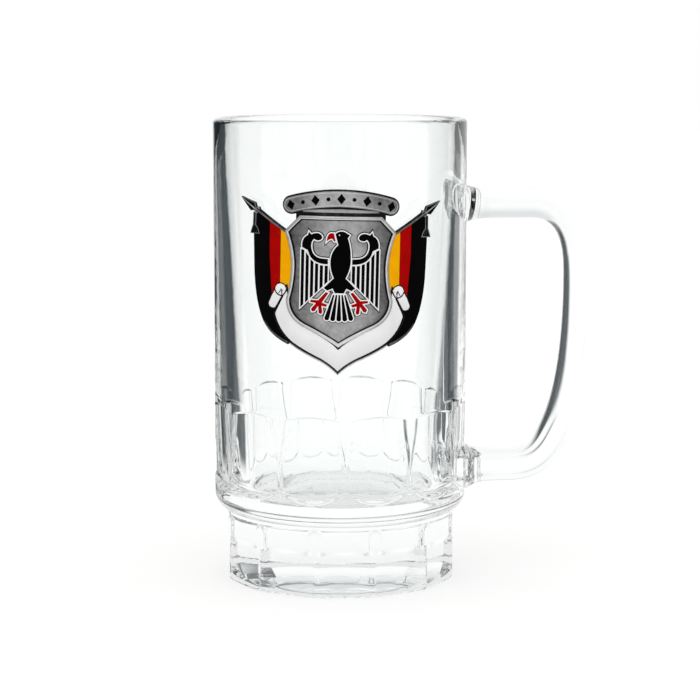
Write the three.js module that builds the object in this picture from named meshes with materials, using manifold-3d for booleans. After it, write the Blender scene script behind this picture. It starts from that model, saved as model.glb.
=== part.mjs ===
// A glass beer mug with a fused side handle and an enamelled metal badge on its front.
// Millimetres, +Z up. The handle points along +X and the badge faces -Y.

import * as THREE from 'three';
import { mergeVertices } from 'three/addons/utils/BufferGeometryUtils.js';
import Module from 'manifold-3d';

const wasm = await Module();
wasm.setup();

const radians = THREE.MathUtils.degToRad;

// Mug body
const MUG_HEIGHT = 146;
const BODY_RADIUS = 40;
const RIM_ROUND = 1.55;
const WALL_AT_FLOOR = 8.5;
const BASE_THICKNESS = 27;
const INNER_CORNER = 6;
const FACETS_ROUND = 48;

// Foot
const FOOT_INSET = 3.2;
const FOOT_TOP = 21.4;
const FOOT_FACET_TOP = 13.7;
const SCOOP_DEPTH = 0.9;
const SCOOP_TOP_GAP = 1.2;
const SCOOP_RISE = 3.2;
const SCOOP_RIDGE = 2.4;
const FOOT_EDGE = 1.2;
const BEARING_WIDTH = 8.8;
const RECESS_DEPTH = 2.6;

// Band of scooped panels round the lower body
const PANELS = 12;
const PANEL_DEPTH = 1.4;
const RIDGE_ANGLE = radians(6.5);
const PANEL_TOP = 57;
const PANEL_BOTTOM_GAP = 2.7;
const ARCH_RISE = 1.6;
const SAG_DROP = 2.6;
const BAND_ROLL = 5.5;
const BAND_ROLL_GAP = 0.4;

// Handle
const HANDLE_STANDOFF = 36.4;
const HANDLE_HIGH = 118.9;
const HANDLE_LOW = 35.2;
const HANDLE_THICK = 9.8;
const HANDLE_WIDTH = 15;
const HANDLE_CORNER = 3.6;
const UPPER_ROOT_HEIGHT = 12.6;
const LOWER_ROOT_HEIGHT = 15.2;
const ROOT_LENGTH = 5.5;
const ROOT_GAP = 0.3;

// Badge, drawn flat about its centre and bent round the mug
const BADGE_HEIGHT = 98;
const BADGE_TURN = radians(-2.5);
const BADGE_TILT = radians(-1.3);
const BEND_STEP = radians(7.5);
const FILM_GAP = 0.15;
const FILM_THICKNESS = 0.5;
const FILM_INSET = 0.7;
const SEAT_GAP = 0.1;
const PLATE_THICKNESS = 1.2;
const CELL_DEPTH = 0.45;
const CELL_CLEARANCE = 0.1;
const CLOISON = 0.3;

// Shield and scroll
const FRAME_RAISE = 0.5;
const FRAME_WIDTH = 1.1;
const PANEL_RECESS = 0.4;
const SCROLL_RIM = 0.6;

// Flags, poles and spear heads
const POLE_FOOT = point(16.6, 14.9);
const POLE_HEAD = point(27.2, 21.4);
const POLE_WIDTH = 0.9;
const POLE_RAISE = 0.6;
const SPEAR_TIP = point(32.4, 24.5);
const SPEAR_HALF_WIDTH = 1.5;
const TASSEL_RIM = 0.15;
const STRIPE_EDGES = [12, 18, 21.7, 30];
const STRIPE_BEND = point(1, 8);
const STRIPE_FOOT = -5;
const STRIPE_COLOURS = ['gold', 'red', 'black'];

// Arched plate
const ARCH_RADIUS = 53.2;
const ARCH_HEIGHT = 25;
const ARCH_HALF_ANGLE = radians(16.2);
const ARCH_HALF_WIDTH = 2.85;
const LOZENGES = 5;
const LOZENGE_WIDTH = 2.5;
const LOZENGE_HEIGHT = 3.2;
const DOT_RADIUS = 0.6;

// Heraldic bird
const FIGURE_RAISE = 0.6;
const FIGURE_RIM = 0.36;
const FEATHER_WIDTH = 0.95;
const FEATHER_PITCH = 1.4;
const FIRST_FEATHER = 3.95;
const FEATHER_SLANT = 3.75;
const FEATHER_TOPS = [
  [5.1, 5.1],
  [5.15, 5.2],
  [5.5, 5.8],
  [6.1, 6.9],
  [7.7, 9],
  [9.55, 9.85],
];
const TAIL_FEATHERS = 5;
const TAIL_HEIGHT = -3.6;
const TAIL_LENGTH = 8;
const TAIL_PITCH = 0.8;
const TAIL_ROOT_WIDTH = 0.46;
const TAIL_TIP_WIDTH = 1.4;
const TAIL_SPREAD = radians(30);

// How finely curves are divided, and what cuts need
const CURVE_STEPS = 4;
const SMALL_STEPS = 2;
const HANDLE_STEPS = 32;
const CUT_MARGIN = 1;
const MITRE_LIMIT = 0.35;
const ROOT_TUCK = 2;
const ROOT_START = 0.98;

// Values that follow from the ones above
const QUARTER = Math.PI / 2;
const PANEL_PITCH = (2 * Math.PI) / PANELS;
const INNER_FLOOR_RADIUS = BODY_RADIUS - WALL_AT_FLOOR;
const FOOT_RADIUS = BODY_RADIUS - FOOT_INSET;
const RECESS_RADIUS = FOOT_RADIUS - BEARING_WIDTH;
const SCOOP_TOP = FOOT_TOP - SCOOP_TOP_GAP;
const BAND_ROLL_HEIGHT = FOOT_TOP + BAND_ROLL + BAND_ROLL_GAP;
const PANEL_BOTTOM = BAND_ROLL_HEIGHT + PANEL_BOTTOM_GAP;
const HANDLE_REACH = BODY_RADIUS + HANDLE_STANDOFF;
const BEND_RADIUS = BODY_RADIUS + FILM_GAP + FILM_THICKNESS + SEAT_GAP;
const FRAME_TOP = PLATE_THICKNESS + FRAME_RAISE;
const PANEL_FLOOR = PLATE_THICKNESS - PANEL_RECESS;
const FIGURE_TOP = PANEL_FLOOR + FIGURE_RAISE;
const POLE_TOP = PLATE_THICKNESS + POLE_RAISE;

// A point of a flat outline.
function point(x, y) {
  return new THREE.Vector2(x, y);
}

// Solids

// A three.js geometry as a solid that can be joined and cut.
function solidOf(geometry) {
  const bare = geometry.clone();
  bare.deleteAttribute('normal');
  bare.deleteAttribute('uv');
  const merged = mergeVertices(bare, 1e-4);
  const index = merged.index.array;
  const corners = [];
  for (let i = 0; i < index.length; i += 3) {
    const [a, b, c] = [index[i], index[i + 1], index[i + 2]];
    if (a !== b && b !== c && c !== a) corners.push(a, b, c);
  }
  return new wasm.Manifold(
    new wasm.Mesh({
      numProp: 3,
      vertProperties: merged.attributes.position.array,
      triVerts: new Uint32Array(corners),
    }),
  );
}

// A solid as a three.js geometry.
function geometryOf(solid) {
  const mesh = solid.getMesh();
  const geometry = new THREE.BufferGeometry();
  geometry.setAttribute('position', new THREE.BufferAttribute(mesh.vertProperties, 3));
  geometry.setIndex(new THREE.BufferAttribute(mesh.triVerts, 1));
  return geometry;
}

function joined(solids) {
  return solids.reduce((whole, solid) => whole.add(solid));
}

// The biggest of the separate bodies that a cut leaves.
function largestOf(solid) {
  return solid.decompose().reduce((best, next) => (next.volume() > best.volume() ? next : best));
}

// Points along a stretch of a circle, of a profile.
function arcPoints(x, y, radius, from, to, steps) {
  return new THREE.Path().absarc(x, y, radius, from, to, to < from).getPoints(steps);
}

// A profile of radius and height turned about the mug's axis.
function turned(profile) {
  const geometry = new THREE.LatheGeometry(profile, FACETS_ROUND);
  return solidOf(geometry.rotateX(Math.PI / 2));
}

// A block with a flat inner face at a distance from the axis and the given outline seen from the front.
function frontBlock(outline, distance, angle) {
  const geometry = new THREE.ExtrudeGeometry(outline, {
    depth: BODY_RADIUS,
    bevelEnabled: false,
    curveSegments: CURVE_STEPS,
  });
  geometry.rotateX(Math.PI / 2).translate(0, -distance, 0).rotateZ(angle);
  return solidOf(geometry);
}

// Mug body

// The outer skin's profile from the foot's bearing edge to the top of the band's roll; grow pushes it out.
function outerProfile(grow) {
  const foot = FOOT_RADIUS + grow;
  const wall = BODY_RADIUS + grow;
  const rollStart = -Math.acos((foot - FOOT_EDGE / 2 - (wall - BAND_ROLL)) / BAND_ROLL);
  return [
    ...arcPoints(foot - FOOT_EDGE, FOOT_EDGE, FOOT_EDGE, -QUARTER, 0, SMALL_STEPS),
    new THREE.Vector2(foot, FOOT_TOP - FOOT_EDGE / 2),
    ...arcPoints(wall - BAND_ROLL, BAND_ROLL_HEIGHT, BAND_ROLL, rollStart, 0, CURVE_STEPS),
  ];
}

// Flat-bottomed scoops round the band, with arched tops and sagging lower edges.
function panelCutters(grow) {
  const distance = BODY_RADIUS - PANEL_DEPTH + grow;
  const halfWidth = distance * Math.tan((PANEL_PITCH - RIDGE_ANGLE) / 2) - grow;
  const outline = new THREE.Shape();
  outline.moveTo(-halfWidth, PANEL_BOTTOM + SAG_DROP);
  outline.quadraticCurveTo(0, PANEL_BOTTOM - SAG_DROP, halfWidth, PANEL_BOTTOM + SAG_DROP);
  outline.lineTo(halfWidth, PANEL_TOP - ARCH_RISE);
  outline.quadraticCurveTo(0, PANEL_TOP + ARCH_RISE, -halfWidth, PANEL_TOP - ARCH_RISE);
  const cutters = [];
  for (let i = 0; i < PANELS; i += 1) {
    cutters.push(frontBlock(outline, distance, (i + 0.5) * PANEL_PITCH));
  }
  return cutters;
}

// Straight facets round the foot, and arched scoops above them, half a pitch round from the panels.
function footCutters() {
  const facetDistance = FOOT_RADIUS * Math.cos(PANEL_PITCH / 2);
  const facet = new THREE.Shape();
  facet.moveTo(-FOOT_RADIUS / 2, -CUT_MARGIN);
  facet.lineTo(FOOT_RADIUS / 2, -CUT_MARGIN);
  facet.lineTo(FOOT_RADIUS / 2, FOOT_FACET_TOP);
  facet.lineTo(-FOOT_RADIUS / 2, FOOT_FACET_TOP);
  const scoopDistance = FOOT_RADIUS - SCOOP_DEPTH;
  const halfWidth = (FOOT_RADIUS * PANEL_PITCH - SCOOP_RIDGE) / 2;
  const scoop = new THREE.Shape();
  scoop.moveTo(-halfWidth, FOOT_FACET_TOP - CUT_MARGIN);
  scoop.lineTo(halfWidth, FOOT_FACET_TOP - CUT_MARGIN);
  scoop.lineTo(halfWidth, SCOOP_TOP - SCOOP_RISE);
  scoop.quadraticCurveTo(0, SCOOP_TOP + SCOOP_RISE, -halfWidth, SCOOP_TOP - SCOOP_RISE);
  const cutters = [];
  for (let i = 0; i < PANELS; i += 1) {
    cutters.push(frontBlock(facet, facetDistance, i * PANEL_PITCH));
    cutters.push(frontBlock(scoop, scoopDistance, i * PANEL_PITCH));
  }
  return cutters;
}

function mugBody() {
  const recessBall = (RECESS_RADIUS ** 2 + RECESS_DEPTH ** 2) / (2 * RECESS_DEPTH);
  const recessAngle = Math.asin(RECESS_RADIUS / recessBall);
  const recessEnd = QUARTER - recessAngle;
  const recess = arcPoints(0, RECESS_DEPTH - recessBall, recessBall, QUARTER, recessEnd, SMALL_STEPS);
  const rimCentre = BODY_RADIUS - RIM_ROUND;
  const rimBase = MUG_HEIGHT - RIM_ROUND;
  const cornerCentre = INNER_FLOOR_RADIUS - INNER_CORNER;
  const profile = [
    ...recess,
    ...outerProfile(0),
    ...arcPoints(rimCentre, rimBase, RIM_ROUND, 0, Math.PI, CURVE_STEPS),
    ...arcPoints(cornerCentre, BASE_THICKNESS + INNER_CORNER, INNER_CORNER, 0, -QUARTER, SMALL_STEPS),
    new THREE.Vector2(0, BASE_THICKNESS),
  ];
  return panelCutters(0)
    .concat(footCutters())
    .reduce((body, cutter) => body.subtract(cutter), turned(profile));
}

// The mug without its hollow, a little larger all round, to trim what sits against it.
function mugSeat(gap) {
  const profile = [
    new THREE.Vector2(0, 0),
    ...outerProfile(gap),
    new THREE.Vector2(BODY_RADIUS + gap, MUG_HEIGHT),
    new THREE.Vector2(0, MUG_HEIGHT),
  ];
  return panelCutters(gap).reduce((seat, cutter) => seat.subtract(cutter), turned(profile));
}

// Handle

// The middle line of the bar, from inside the wall at the top to inside it at the bottom.
function handleLine() {
  const at = (x, z) => new THREE.Vector3(x, 0, z);
  const start = BODY_RADIUS - ROOT_TUCK;
  const path = new THREE.CurvePath();
  path.add(new THREE.LineCurve3(at(start, HANDLE_HIGH), at(HANDLE_REACH - 15.4, HANDLE_HIGH)));
  path.add(
    new THREE.CubicBezierCurve3(
      at(HANDLE_REACH - 15.4, HANDLE_HIGH),
      at(HANDLE_REACH - 5.4, HANDLE_HIGH),
      at(HANDLE_REACH - 0.2, HANDLE_HIGH - 7),
      at(HANDLE_REACH, HANDLE_HIGH - 20.9),
    ),
  );
  path.add(
    new THREE.CubicBezierCurve3(
      at(HANDLE_REACH, HANDLE_HIGH - 20.9),
      at(HANDLE_REACH + 0.3, HANDLE_HIGH - 36.9),
      at(HANDLE_REACH - 0.9, HANDLE_LOW + 21.8),
      at(HANDLE_REACH - 8.4, HANDLE_LOW + 8.3),
    ),
  );
  path.add(
    new THREE.CubicBezierCurve3(
      at(HANDLE_REACH - 8.4, HANDLE_LOW + 8.3),
      at(HANDLE_REACH - 11.8, HANDLE_LOW + 2.2),
      at(HANDLE_REACH - 16.4, HANDLE_LOW),
      at(HANDLE_REACH - 22.4, HANDLE_LOW),
    ),
  );
  path.add(new THREE.LineCurve3(at(HANDLE_REACH - 22.4, HANDLE_LOW), at(start, HANDLE_LOW)));
  return path;
}

// A rectangle with rounded corners, centred.
function roundedSection(thick, width, corner) {
  const x = thick / 2 - corner;
  const y = width / 2 - corner;
  const section = new THREE.Shape();
  section.absarc(x, y, corner, 0, QUARTER);
  section.absarc(-x, y, corner, QUARTER, 2 * QUARTER);
  section.absarc(-x, -y, corner, 2 * QUARTER, 3 * QUARTER);
  section.absarc(x, -y, corner, 3 * QUARTER, 4 * QUARTER);
  return section;
}

// A flared root: the bar's section grows towards the wall.
function handleRoot(height, rootHeight) {
  const grow = rootHeight / HANDLE_THICK;
  const section = roundedSection(HANDLE_THICK, HANDLE_WIDTH, HANDLE_CORNER);
  const length = ROOT_TUCK + ROOT_LENGTH;
  const geometry = new THREE.ExtrudeGeometry(section, {
    depth: length,
    bevelEnabled: false,
    curveSegments: SMALL_STEPS,
  });
  const places = geometry.attributes.position;
  for (let i = 0; i < places.count; i += 1) {
    const share = 1 - places.getZ(i) / length;
    const swell = ROOT_START + (grow - ROOT_START) * share;
    places.setXY(i, places.getX(i) * swell, places.getY(i) * swell);
  }
  return solidOf(geometry.rotateY(Math.PI / 2).translate(BODY_RADIUS - ROOT_TUCK, 0, height));
}

function mugHandle() {
  const sweep = new THREE.ExtrudeGeometry(roundedSection(HANDLE_THICK, HANDLE_WIDTH, HANDLE_CORNER), {
    steps: HANDLE_STEPS,
    curveSegments: SMALL_STEPS,
    extrudePath: handleLine(),
  });
  return solidOf(sweep)
    .add(handleRoot(HANDLE_HIGH, UPPER_ROOT_HEIGHT))
    .add(handleRoot(HANDLE_LOW, LOWER_ROOT_HEIGHT))
    .subtract(mugSeat(ROOT_GAP));
}

// Flat badge work: outlines are lists of points, x to the right and y up, seen from the front

// Points along a path that draw describes on a THREE.Path.
function drawn(draw, steps = CURVE_STEPS) {
  const path = new THREE.Path();
  draw(path);
  const points = path.getPoints(steps);
  if (points[0].distanceTo(points[points.length - 1]) < 1e-6) points.pop();
  return points;
}

// The other half of a shape that is the same on both sides.
function bothSides(half) {
  const other = half.filter((p) => p.x > 1e-6).map((p) => point(-p.x, p.y));
  return half.concat(other.reverse());
}

function mirrored(points) {
  return points.map((p) => point(-p.x, p.y)).reverse();
}

// The outline moved outwards by a distance, or inwards where it is negative.
function grown(points, distance) {
  const outward = THREE.ShapeUtils.isClockWise(points) ? -1 : 1;
  return points.map((p, i) => {
    const before = points[(i + points.length - 1) % points.length];
    const after = points[(i + 1) % points.length];
    const into = p.clone().sub(before).normalize();
    const away = after.clone().sub(p).normalize();
    const side = point(into.y + away.y, -into.x - away.x).normalize();
    const turn = Math.max(MITRE_LIMIT, side.dot(point(into.y, -into.x)));
    return p.clone().addScaledVector(side, (outward * distance) / turn);
  });
}

// A flat solid over an outline, between two heights above the badge's back.
function slab(points, low, high) {
  const geometry = new THREE.ExtrudeGeometry(new THREE.Shape(points), {
    depth: high - low,
    bevelEnabled: false,
  });
  return solidOf(geometry.translate(0, 0, low));
}

// Shield

function shieldPanel() {
  return bothSides(
    drawn((p) => {
      p.moveTo(0, 18.8);
      p.lineTo(11.6, 18.8);
      p.lineTo(15.5, 14.8);
      p.quadraticCurveTo(13.6, 10, 13.4, 5);
      p.quadraticCurveTo(13.4, -0.5, 14.9, -5.5);
      p.quadraticCurveTo(14.8, -10.2, 10.2, -12.6);
      p.quadraticCurveTo(4.4, -15.2, 0, -18.2);
    }),
  );
}

// Scroll under the shield, with a curl at each end

function scrollBand() {
  return bothSides(
    drawn((p) => {
      p.moveTo(0, -27);
      p.quadraticCurveTo(1.8, -25, 5.2, -23.1);
      p.quadraticCurveTo(10.5, -20.7, 14, -18.4);
      p.quadraticCurveTo(18.2, -15.2, 19.6, -10.3);
      p.lineTo(18.9, -8.5);
      p.lineTo(17.1, -4.9);
      p.lineTo(17, -3.2);
      p.lineTo(15.9, -1.9);
      p.quadraticCurveTo(15.3, -4.2, 15.4, -5.6);
      p.quadraticCurveTo(15.3, -10.7, 10.5, -13.4);
      p.quadraticCurveTo(4.8, -16, 1.6, -18.5);
      p.lineTo(0, -20);
    }),
  );
}

function scrollCurl() {
  return drawn((p) => {
    p.moveTo(15.9, -2.2);
    p.quadraticCurveTo(16.5, -0.95, 17.9, -0.9);
    p.quadraticCurveTo(19.2, -1, 19.5, -2.4);
    p.quadraticCurveTo(19.9, -3.6, 20.6, -4.6);
    p.lineTo(21.6, -6.9);
    p.quadraticCurveTo(21.7, -8.2, 20.4, -8.4);
    p.quadraticCurveTo(19.5, -8.6, 19, -7.6);
    p.lineTo(17.3, -4.6);
    p.quadraticCurveTo(16.2, -3.6, 15.9, -2.2);
  });
}

// Arched plate over the shield

function archPlate(inset) {
  const halfWidth = ARCH_HALF_WIDTH - inset;
  const centre = ARCH_HEIGHT - ARCH_RADIUS;
  const high = Math.PI / 2 - ARCH_HALF_ANGLE;
  const low = Math.PI / 2 + ARCH_HALF_ANGLE;
  const end = (angle) => point(ARCH_RADIUS * Math.cos(angle), centre + ARCH_RADIUS * Math.sin(angle));
  return drawn((p) => {
    p.absarc(0, centre, ARCH_RADIUS + halfWidth, high, low, false);
    p.absarc(end(low).x, end(low).y, halfWidth, low, low + Math.PI, false);
    p.absarc(0, centre, ARCH_RADIUS - halfWidth, low, high, true);
    p.absarc(end(high).x, end(high).y, halfWidth, high - Math.PI, high, false);
  });
}

// Flag and pole on the right; the left ones mirror them

function flagCloth() {
  return drawn((p) => {
    p.moveTo(POLE_FOOT.x - 3, POLE_FOOT.y - 2);
    p.lineTo(POLE_FOOT.x, POLE_FOOT.y);
    p.lineTo(POLE_HEAD.x, POLE_HEAD.y - 0.4);
    p.lineTo(27.4, 13);
    p.lineTo(27.1, 4);
    p.quadraticCurveTo(26.8, -6.4, 23.6, -12.4);
    p.quadraticCurveTo(21.2, -16.6, 15.4, -18.9);
    p.lineTo(12, -14);
  });
}

// A straight bar between two points.
function bar(from, to, width) {
  const side = to.clone().sub(from).normalize().multiplyScalar(width / 2);
  const across = point(-side.y, side.x);
  return [
    from.clone().add(across),
    from.clone().sub(across),
    to.clone().sub(across),
    to.clone().add(across),
  ];
}

// The spear's leaf-shaped head, drawn about its own line from the pole's end to the tip.
function spearHead(inset) {
  const along = SPEAR_TIP.clone().sub(POLE_HEAD).normalize();
  const across = point(-along.y, along.x);
  const base = POLE_HEAD.clone().addScaledVector(along, -1.2 + inset * 1.6);
  const wide = POLE_HEAD.clone().addScaledVector(along, 1);
  const half = SPEAR_HALF_WIDTH - inset;
  return [
    base,
    wide.clone().addScaledVector(across, -half),
    SPEAR_TIP.clone().addScaledVector(along, -inset * 3),
    wide.clone().addScaledVector(across, half),
  ];
}

function tassel() {
  return drawn((p) => {
    p.moveTo(26.6, 19.9);
    p.lineTo(27.5, 19.9);
    p.lineTo(27.6, 16.2);
    p.quadraticCurveTo(28.2, 15, 28.5, 13.7);
    p.lineTo(25.4, 13.7);
    p.quadraticCurveTo(25.6, 15, 26.7, 16.2);
  });
}

// Heraldic bird on the shield, facing left

function birdBody() {
  return drawn((p) => {
    p.moveTo(2.7, 14.3);
    p.lineTo(2.1, 13.4);
    p.quadraticCurveTo(3.1, 10.6, 3.1, 7);
    p.quadraticCurveTo(3.1, 3.9, 1.7, 1.4);
    p.lineTo(4.6, -1.6);
    p.lineTo(3.5, -2.4);
    p.lineTo(2, -1.7);
    p.lineTo(1.3, -3.1);
    p.lineTo(-1.3, -3.1);
    p.lineTo(-2, -1.7);
    p.lineTo(-3.5, -2.4);
    p.lineTo(-4.6, -1.6);
    p.lineTo(-1.7, 1.4);
    p.quadraticCurveTo(-2.9, 3.7, -2.8, 6.6);
    p.quadraticCurveTo(-2.6, 9.6, -0.6, 11.3);
    p.lineTo(-0.9, 12.4);
    p.lineTo(-1.5, 14.6);
    p.quadraticCurveTo(-0.5, 15.7, 1.1, 15.3);
  });
}

function birdBeak() {
  return drawn((p) => {
    p.moveTo(-1.95, 14.8);
    p.quadraticCurveTo(-3.9, 15.3, -4, 12.3);
    p.quadraticCurveTo(-3.1, 13.3, -2.3, 13.1);
    p.lineTo(-1.9, 12.4);
    p.lineTo(-1.4, 12.4);
  });
}

function wingArm() {
  return drawn((p) => {
    p.moveTo(3.5, 5.5);
    p.quadraticCurveTo(7.6, 5.4, 9, 8.2);
    p.lineTo(9.5, 9.6);
    p.lineTo(11.2, 10.4);
    p.quadraticCurveTo(11.4, 13.2, 9.5, 14.1);
    p.lineTo(9.2, 15.1);
    p.lineTo(8.5, 14.3);
    p.quadraticCurveTo(6.6, 15.3, 5.6, 14.2);
    p.quadraticCurveTo(4.8, 13.3, 5.9, 12.7);
    p.quadraticCurveTo(7, 12.3, 7.6, 13);
    p.quadraticCurveTo(8.7, 12.2, 8.4, 10.2);
    p.quadraticCurveTo(7.9, 7.5, 5.3, 7.2);
    p.lineTo(3.5, 7.1);
  });
}

// Upright feathers side by side, with slanting feet that step down outwards.
function wingFeathers() {
  return FEATHER_TOPS.map(([innerTop, outerTop], i) => {
    const inner = FIRST_FEATHER + FEATHER_PITCH * i - FEATHER_WIDTH / 2;
    const outer = inner + FEATHER_WIDTH;
    return [
      point(inner, innerTop),
      point(inner, FEATHER_SLANT - inner),
      point(outer, FEATHER_SLANT - outer),
      point(outer, outerTop),
    ];
  });
}

// A bar that widens to a round tip.
function tailFeather(root, tip) {
  const along = tip.clone().sub(root).normalize();
  const across = point(-along.y, along.x);
  const heading = Math.atan2(along.y, along.x);
  const end = tip.clone().addScaledVector(along, -TAIL_TIP_WIDTH / 2);
  return drawn((p) => {
    const left = root.clone().addScaledVector(across, TAIL_ROOT_WIDTH / 2);
    const right = root.clone().addScaledVector(across, -TAIL_ROOT_WIDTH / 2);
    p.moveTo(left.x, left.y);
    p.lineTo(right.x, right.y);
    p.absarc(end.x, end.y, TAIL_TIP_WIDTH / 2, heading - Math.PI / 2, heading + Math.PI / 2, false);
  }, SMALL_STEPS);
}

function tailFeathers() {
  const feathers = [];
  for (let i = 0; i < TAIL_FEATHERS; i += 1) {
    const lean = (i / (TAIL_FEATHERS - 1) - 0.5) * TAIL_SPREAD;
    const root = point(TAIL_PITCH * (i - (TAIL_FEATHERS - 1) / 2), TAIL_HEIGHT);
    const tip = point(root.x + TAIL_LENGTH * Math.sin(lean), root.y - TAIL_LENGTH * Math.cos(lean));
    feathers.push(tailFeather(root, tip));
  }
  return feathers;
}

// A claw: a short leg with three toes spread from its end, and one behind.
function claw() {
  return [
    point(3.15, -3.1),
    point(3.95, -2.8),
    point(6.15, -5.35),
    point(8.3, -5.25),
    point(8.5, -5.95),
    point(6.75, -6.25),
    point(8.2, -8),
    point(7.9, -8.8),
    point(7.1, -8.7),
    point(6.1, -7.1),
    point(5.9, -9.2),
    point(5.2, -9.5),
    point(4.8, -8.9),
    point(5.1, -7),
    point(3.8, -7.3),
    point(3.4, -6.6),
    point(5, -6),
  ];
}

// Every black or colour cell of the raised figure, by node name
function figureCells() {
  const cells = [
    ['bird_body', 'black', birdBody()],
    ['bird_beak', 'red', birdBeak()],
    ['bird_wing_right', 'black', wingArm()],
    ['bird_wing_left', 'black', mirrored(wingArm())],
    ['bird_claw_right', 'red', claw()],
    ['bird_claw_left', 'red', mirrored(claw())],
  ];
  wingFeathers().forEach((outline, i) => {
    cells.push([`wing_feather_right_${i + 1}`, 'black', outline]);
    cells.push([`wing_feather_left_${i + 1}`, 'black', mirrored(outline)]);
  });
  tailFeathers().forEach((outline, i) => cells.push([`tail_feather_${i + 1}`, 'black', outline]));
  return cells;
}

// Lozenges with dots between them along the arched plate
function archOrnaments() {
  const cells = [];
  const places = 2 * LOZENGES - 1;
  const centre = ARCH_HEIGHT - ARCH_RADIUS;
  for (let i = 0; i < places; i += 1) {
    const lean = ARCH_HALF_ANGLE * (1 - (2 * i) / (places - 1));
    const middle = point(-ARCH_RADIUS * Math.sin(lean), centre + ARCH_RADIUS * Math.cos(lean));
    const corners = [point(LOZENGE_WIDTH / 2, 0), point(0, LOZENGE_HEIGHT / 2)];
    corners.push(point(-LOZENGE_WIDTH / 2, 0), point(0, -LOZENGE_HEIGHT / 2));
    const dot = drawn((p) => p.absarc(0, 0, DOT_RADIUS, 0, 2 * Math.PI, false), SMALL_STEPS * 2);
    const outline = i % 2 === 0 ? corners : dot;
    const placed = outline.map((p) => p.clone().rotateAround(point(0, 0), lean).add(middle));
    cells.push([i % 2 === 0 ? `plate_lozenge_${i / 2 + 1}` : `plate_dot_${(i + 1) / 2}`, 'black', placed]);
  }
  return cells;
}

// The border between two stripes: upright, and where it leans, bent inwards towards its foot.
function stripeBorder(x, lean) {
  return [point(x, 30), point(x, STRIPE_BEND.y), point(x - lean, STRIPE_FOOT)];
}

// The band that a stripe runs in. Under the curl the outermost stripe takes the whole width.
function stripeBand(index, margin) {
  const last = STRIPE_COLOURS.length - 1;
  const lean = (edge) => (edge === last ? STRIPE_BEND.x : 0);
  const inner = stripeBorder(STRIPE_EDGES[index] + margin, lean(index));
  if (index < last) {
    return [...inner, ...stripeBorder(STRIPE_EDGES[index + 1] - margin, lean(index + 1)).reverse()];
  }
  const [left, right] = [STRIPE_EDGES[0], STRIPE_EDGES[index + 1]];
  return [...inner, point(left, STRIPE_FOOT), point(left, -30), point(right, -30), point(right, 30)];
}

// What one stripe of a flag holds, kept a margin away from all that borders it.
function flagStripe(index, margin, low, high) {
  const borders = [
    slab(grown(shieldPanel(), FRAME_WIDTH + margin - CLOISON / 2), low, high),
    slab(grown(scrollBand(), SCROLL_RIM + margin), low, high),
    slab(grown(scrollCurl(), CLOISON + margin), low, high),
    slab(grown(tassel(), margin), low, high),
    slab(grown(bar(POLE_FOOT, POLE_HEAD, POLE_WIDTH), margin), low, high),
    slab(grown(spearHead(0), margin), low, high),
  ];
  const band = slab(stripeBand(index, margin), low, high);
  const cloth = slab(grown(flagCloth(), -margin), low, high).intersect(band);
  return largestOf(borders.reduce((stripe, border) => stripe.subtract(border), cloth));
}

// A flat solid turned over to the left side.
function leftOf(solid) {
  const geometry = geometryOf(solid);
  const places = geometry.attributes.position;
  for (let i = 0; i < places.count; i += 1) places.setX(i, -places.getX(i));
  const index = geometry.index.array;
  for (let i = 0; i < index.length; i += 3) {
    [index[i + 1], index[i + 2]] = [index[i + 2], index[i + 1]];
  }
  return solidOf(geometry);
}

// Badge

// The cells that are not part of the bird, as [node, colour, cell, fill] flat solids.
function groundCells() {
  const floor = PLATE_THICKNESS - CELL_DEPTH;
  const above = FRAME_TOP + CUT_MARGIN;
  const fillLow = floor + CELL_CLEARANCE;
  const cells = [];
  const add = (name, colour, points) => {
    const cell = slab(points, floor, above);
    cells.push([name, colour, cell, slab(grown(points, -CELL_CLEARANCE), fillLow, PLATE_THICKNESS)]);
  };
  STRIPE_COLOURS.forEach((colour, i) => {
    const cell = flagStripe(i, CLOISON / 2, floor, above);
    const fill = flagStripe(i, CLOISON / 2 + CELL_CLEARANCE, fillLow, PLATE_THICKNESS);
    cells.push([`flag_${colour}_right`, colour, cell, fill]);
    cells.push([`flag_${colour}_left`, colour, leftOf(cell), leftOf(fill)]);
  });
  archOrnaments().forEach(([name, colour, points]) => add(name, colour, points));
  add('scroll_curl_right', 'white', scrollCurl());
  add('scroll_curl_left', 'white', mirrored(scrollCurl()));
  const curls = (gap, low, high) =>
    [scrollCurl(), mirrored(scrollCurl())].map((outline) => slab(grown(outline, gap), low, high));
  const cutBy = (solid, cutters) => cutters.reduce((rest, cutter) => rest.subtract(cutter), solid);
  const scrollCell = cutBy(slab(scrollBand(), floor, above), curls(CLOISON, floor, above));
  const scrollFill = cutBy(
    slab(grown(scrollBand(), -CELL_CLEARANCE), fillLow, PLATE_THICKNESS),
    curls(CLOISON + CELL_CLEARANCE, fillLow, PLATE_THICKNESS),
  );
  cells.push(['scroll_ribbon', 'white', largestOf(scrollCell), largestOf(scrollFill)]);
  return cells;
}

// The spear heads' fills stand higher, with the poles.
function spearCells() {
  const floor = POLE_TOP - CELL_DEPTH;
  const cell = slab(spearHead(FIGURE_RIM), floor, POLE_TOP + CUT_MARGIN);
  const fill = slab(grown(spearHead(FIGURE_RIM), -CELL_CLEARANCE), floor + CELL_CLEARANCE, POLE_TOP);
  return [
    ['spear_fill_right', 'black', cell, fill],
    ['spear_fill_left', 'black', leftOf(cell), leftOf(fill)],
  ];
}

function birdCells() {
  const floor = FIGURE_TOP - CELL_DEPTH;
  return figureCells().map(([name, colour, points]) => [
    name,
    colour,
    slab(points, floor, FIGURE_TOP + CUT_MARGIN),
    slab(grown(points, -CELL_CLEARANCE), floor + CELL_CLEARANCE, FIGURE_TOP),
  ]);
}

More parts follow.
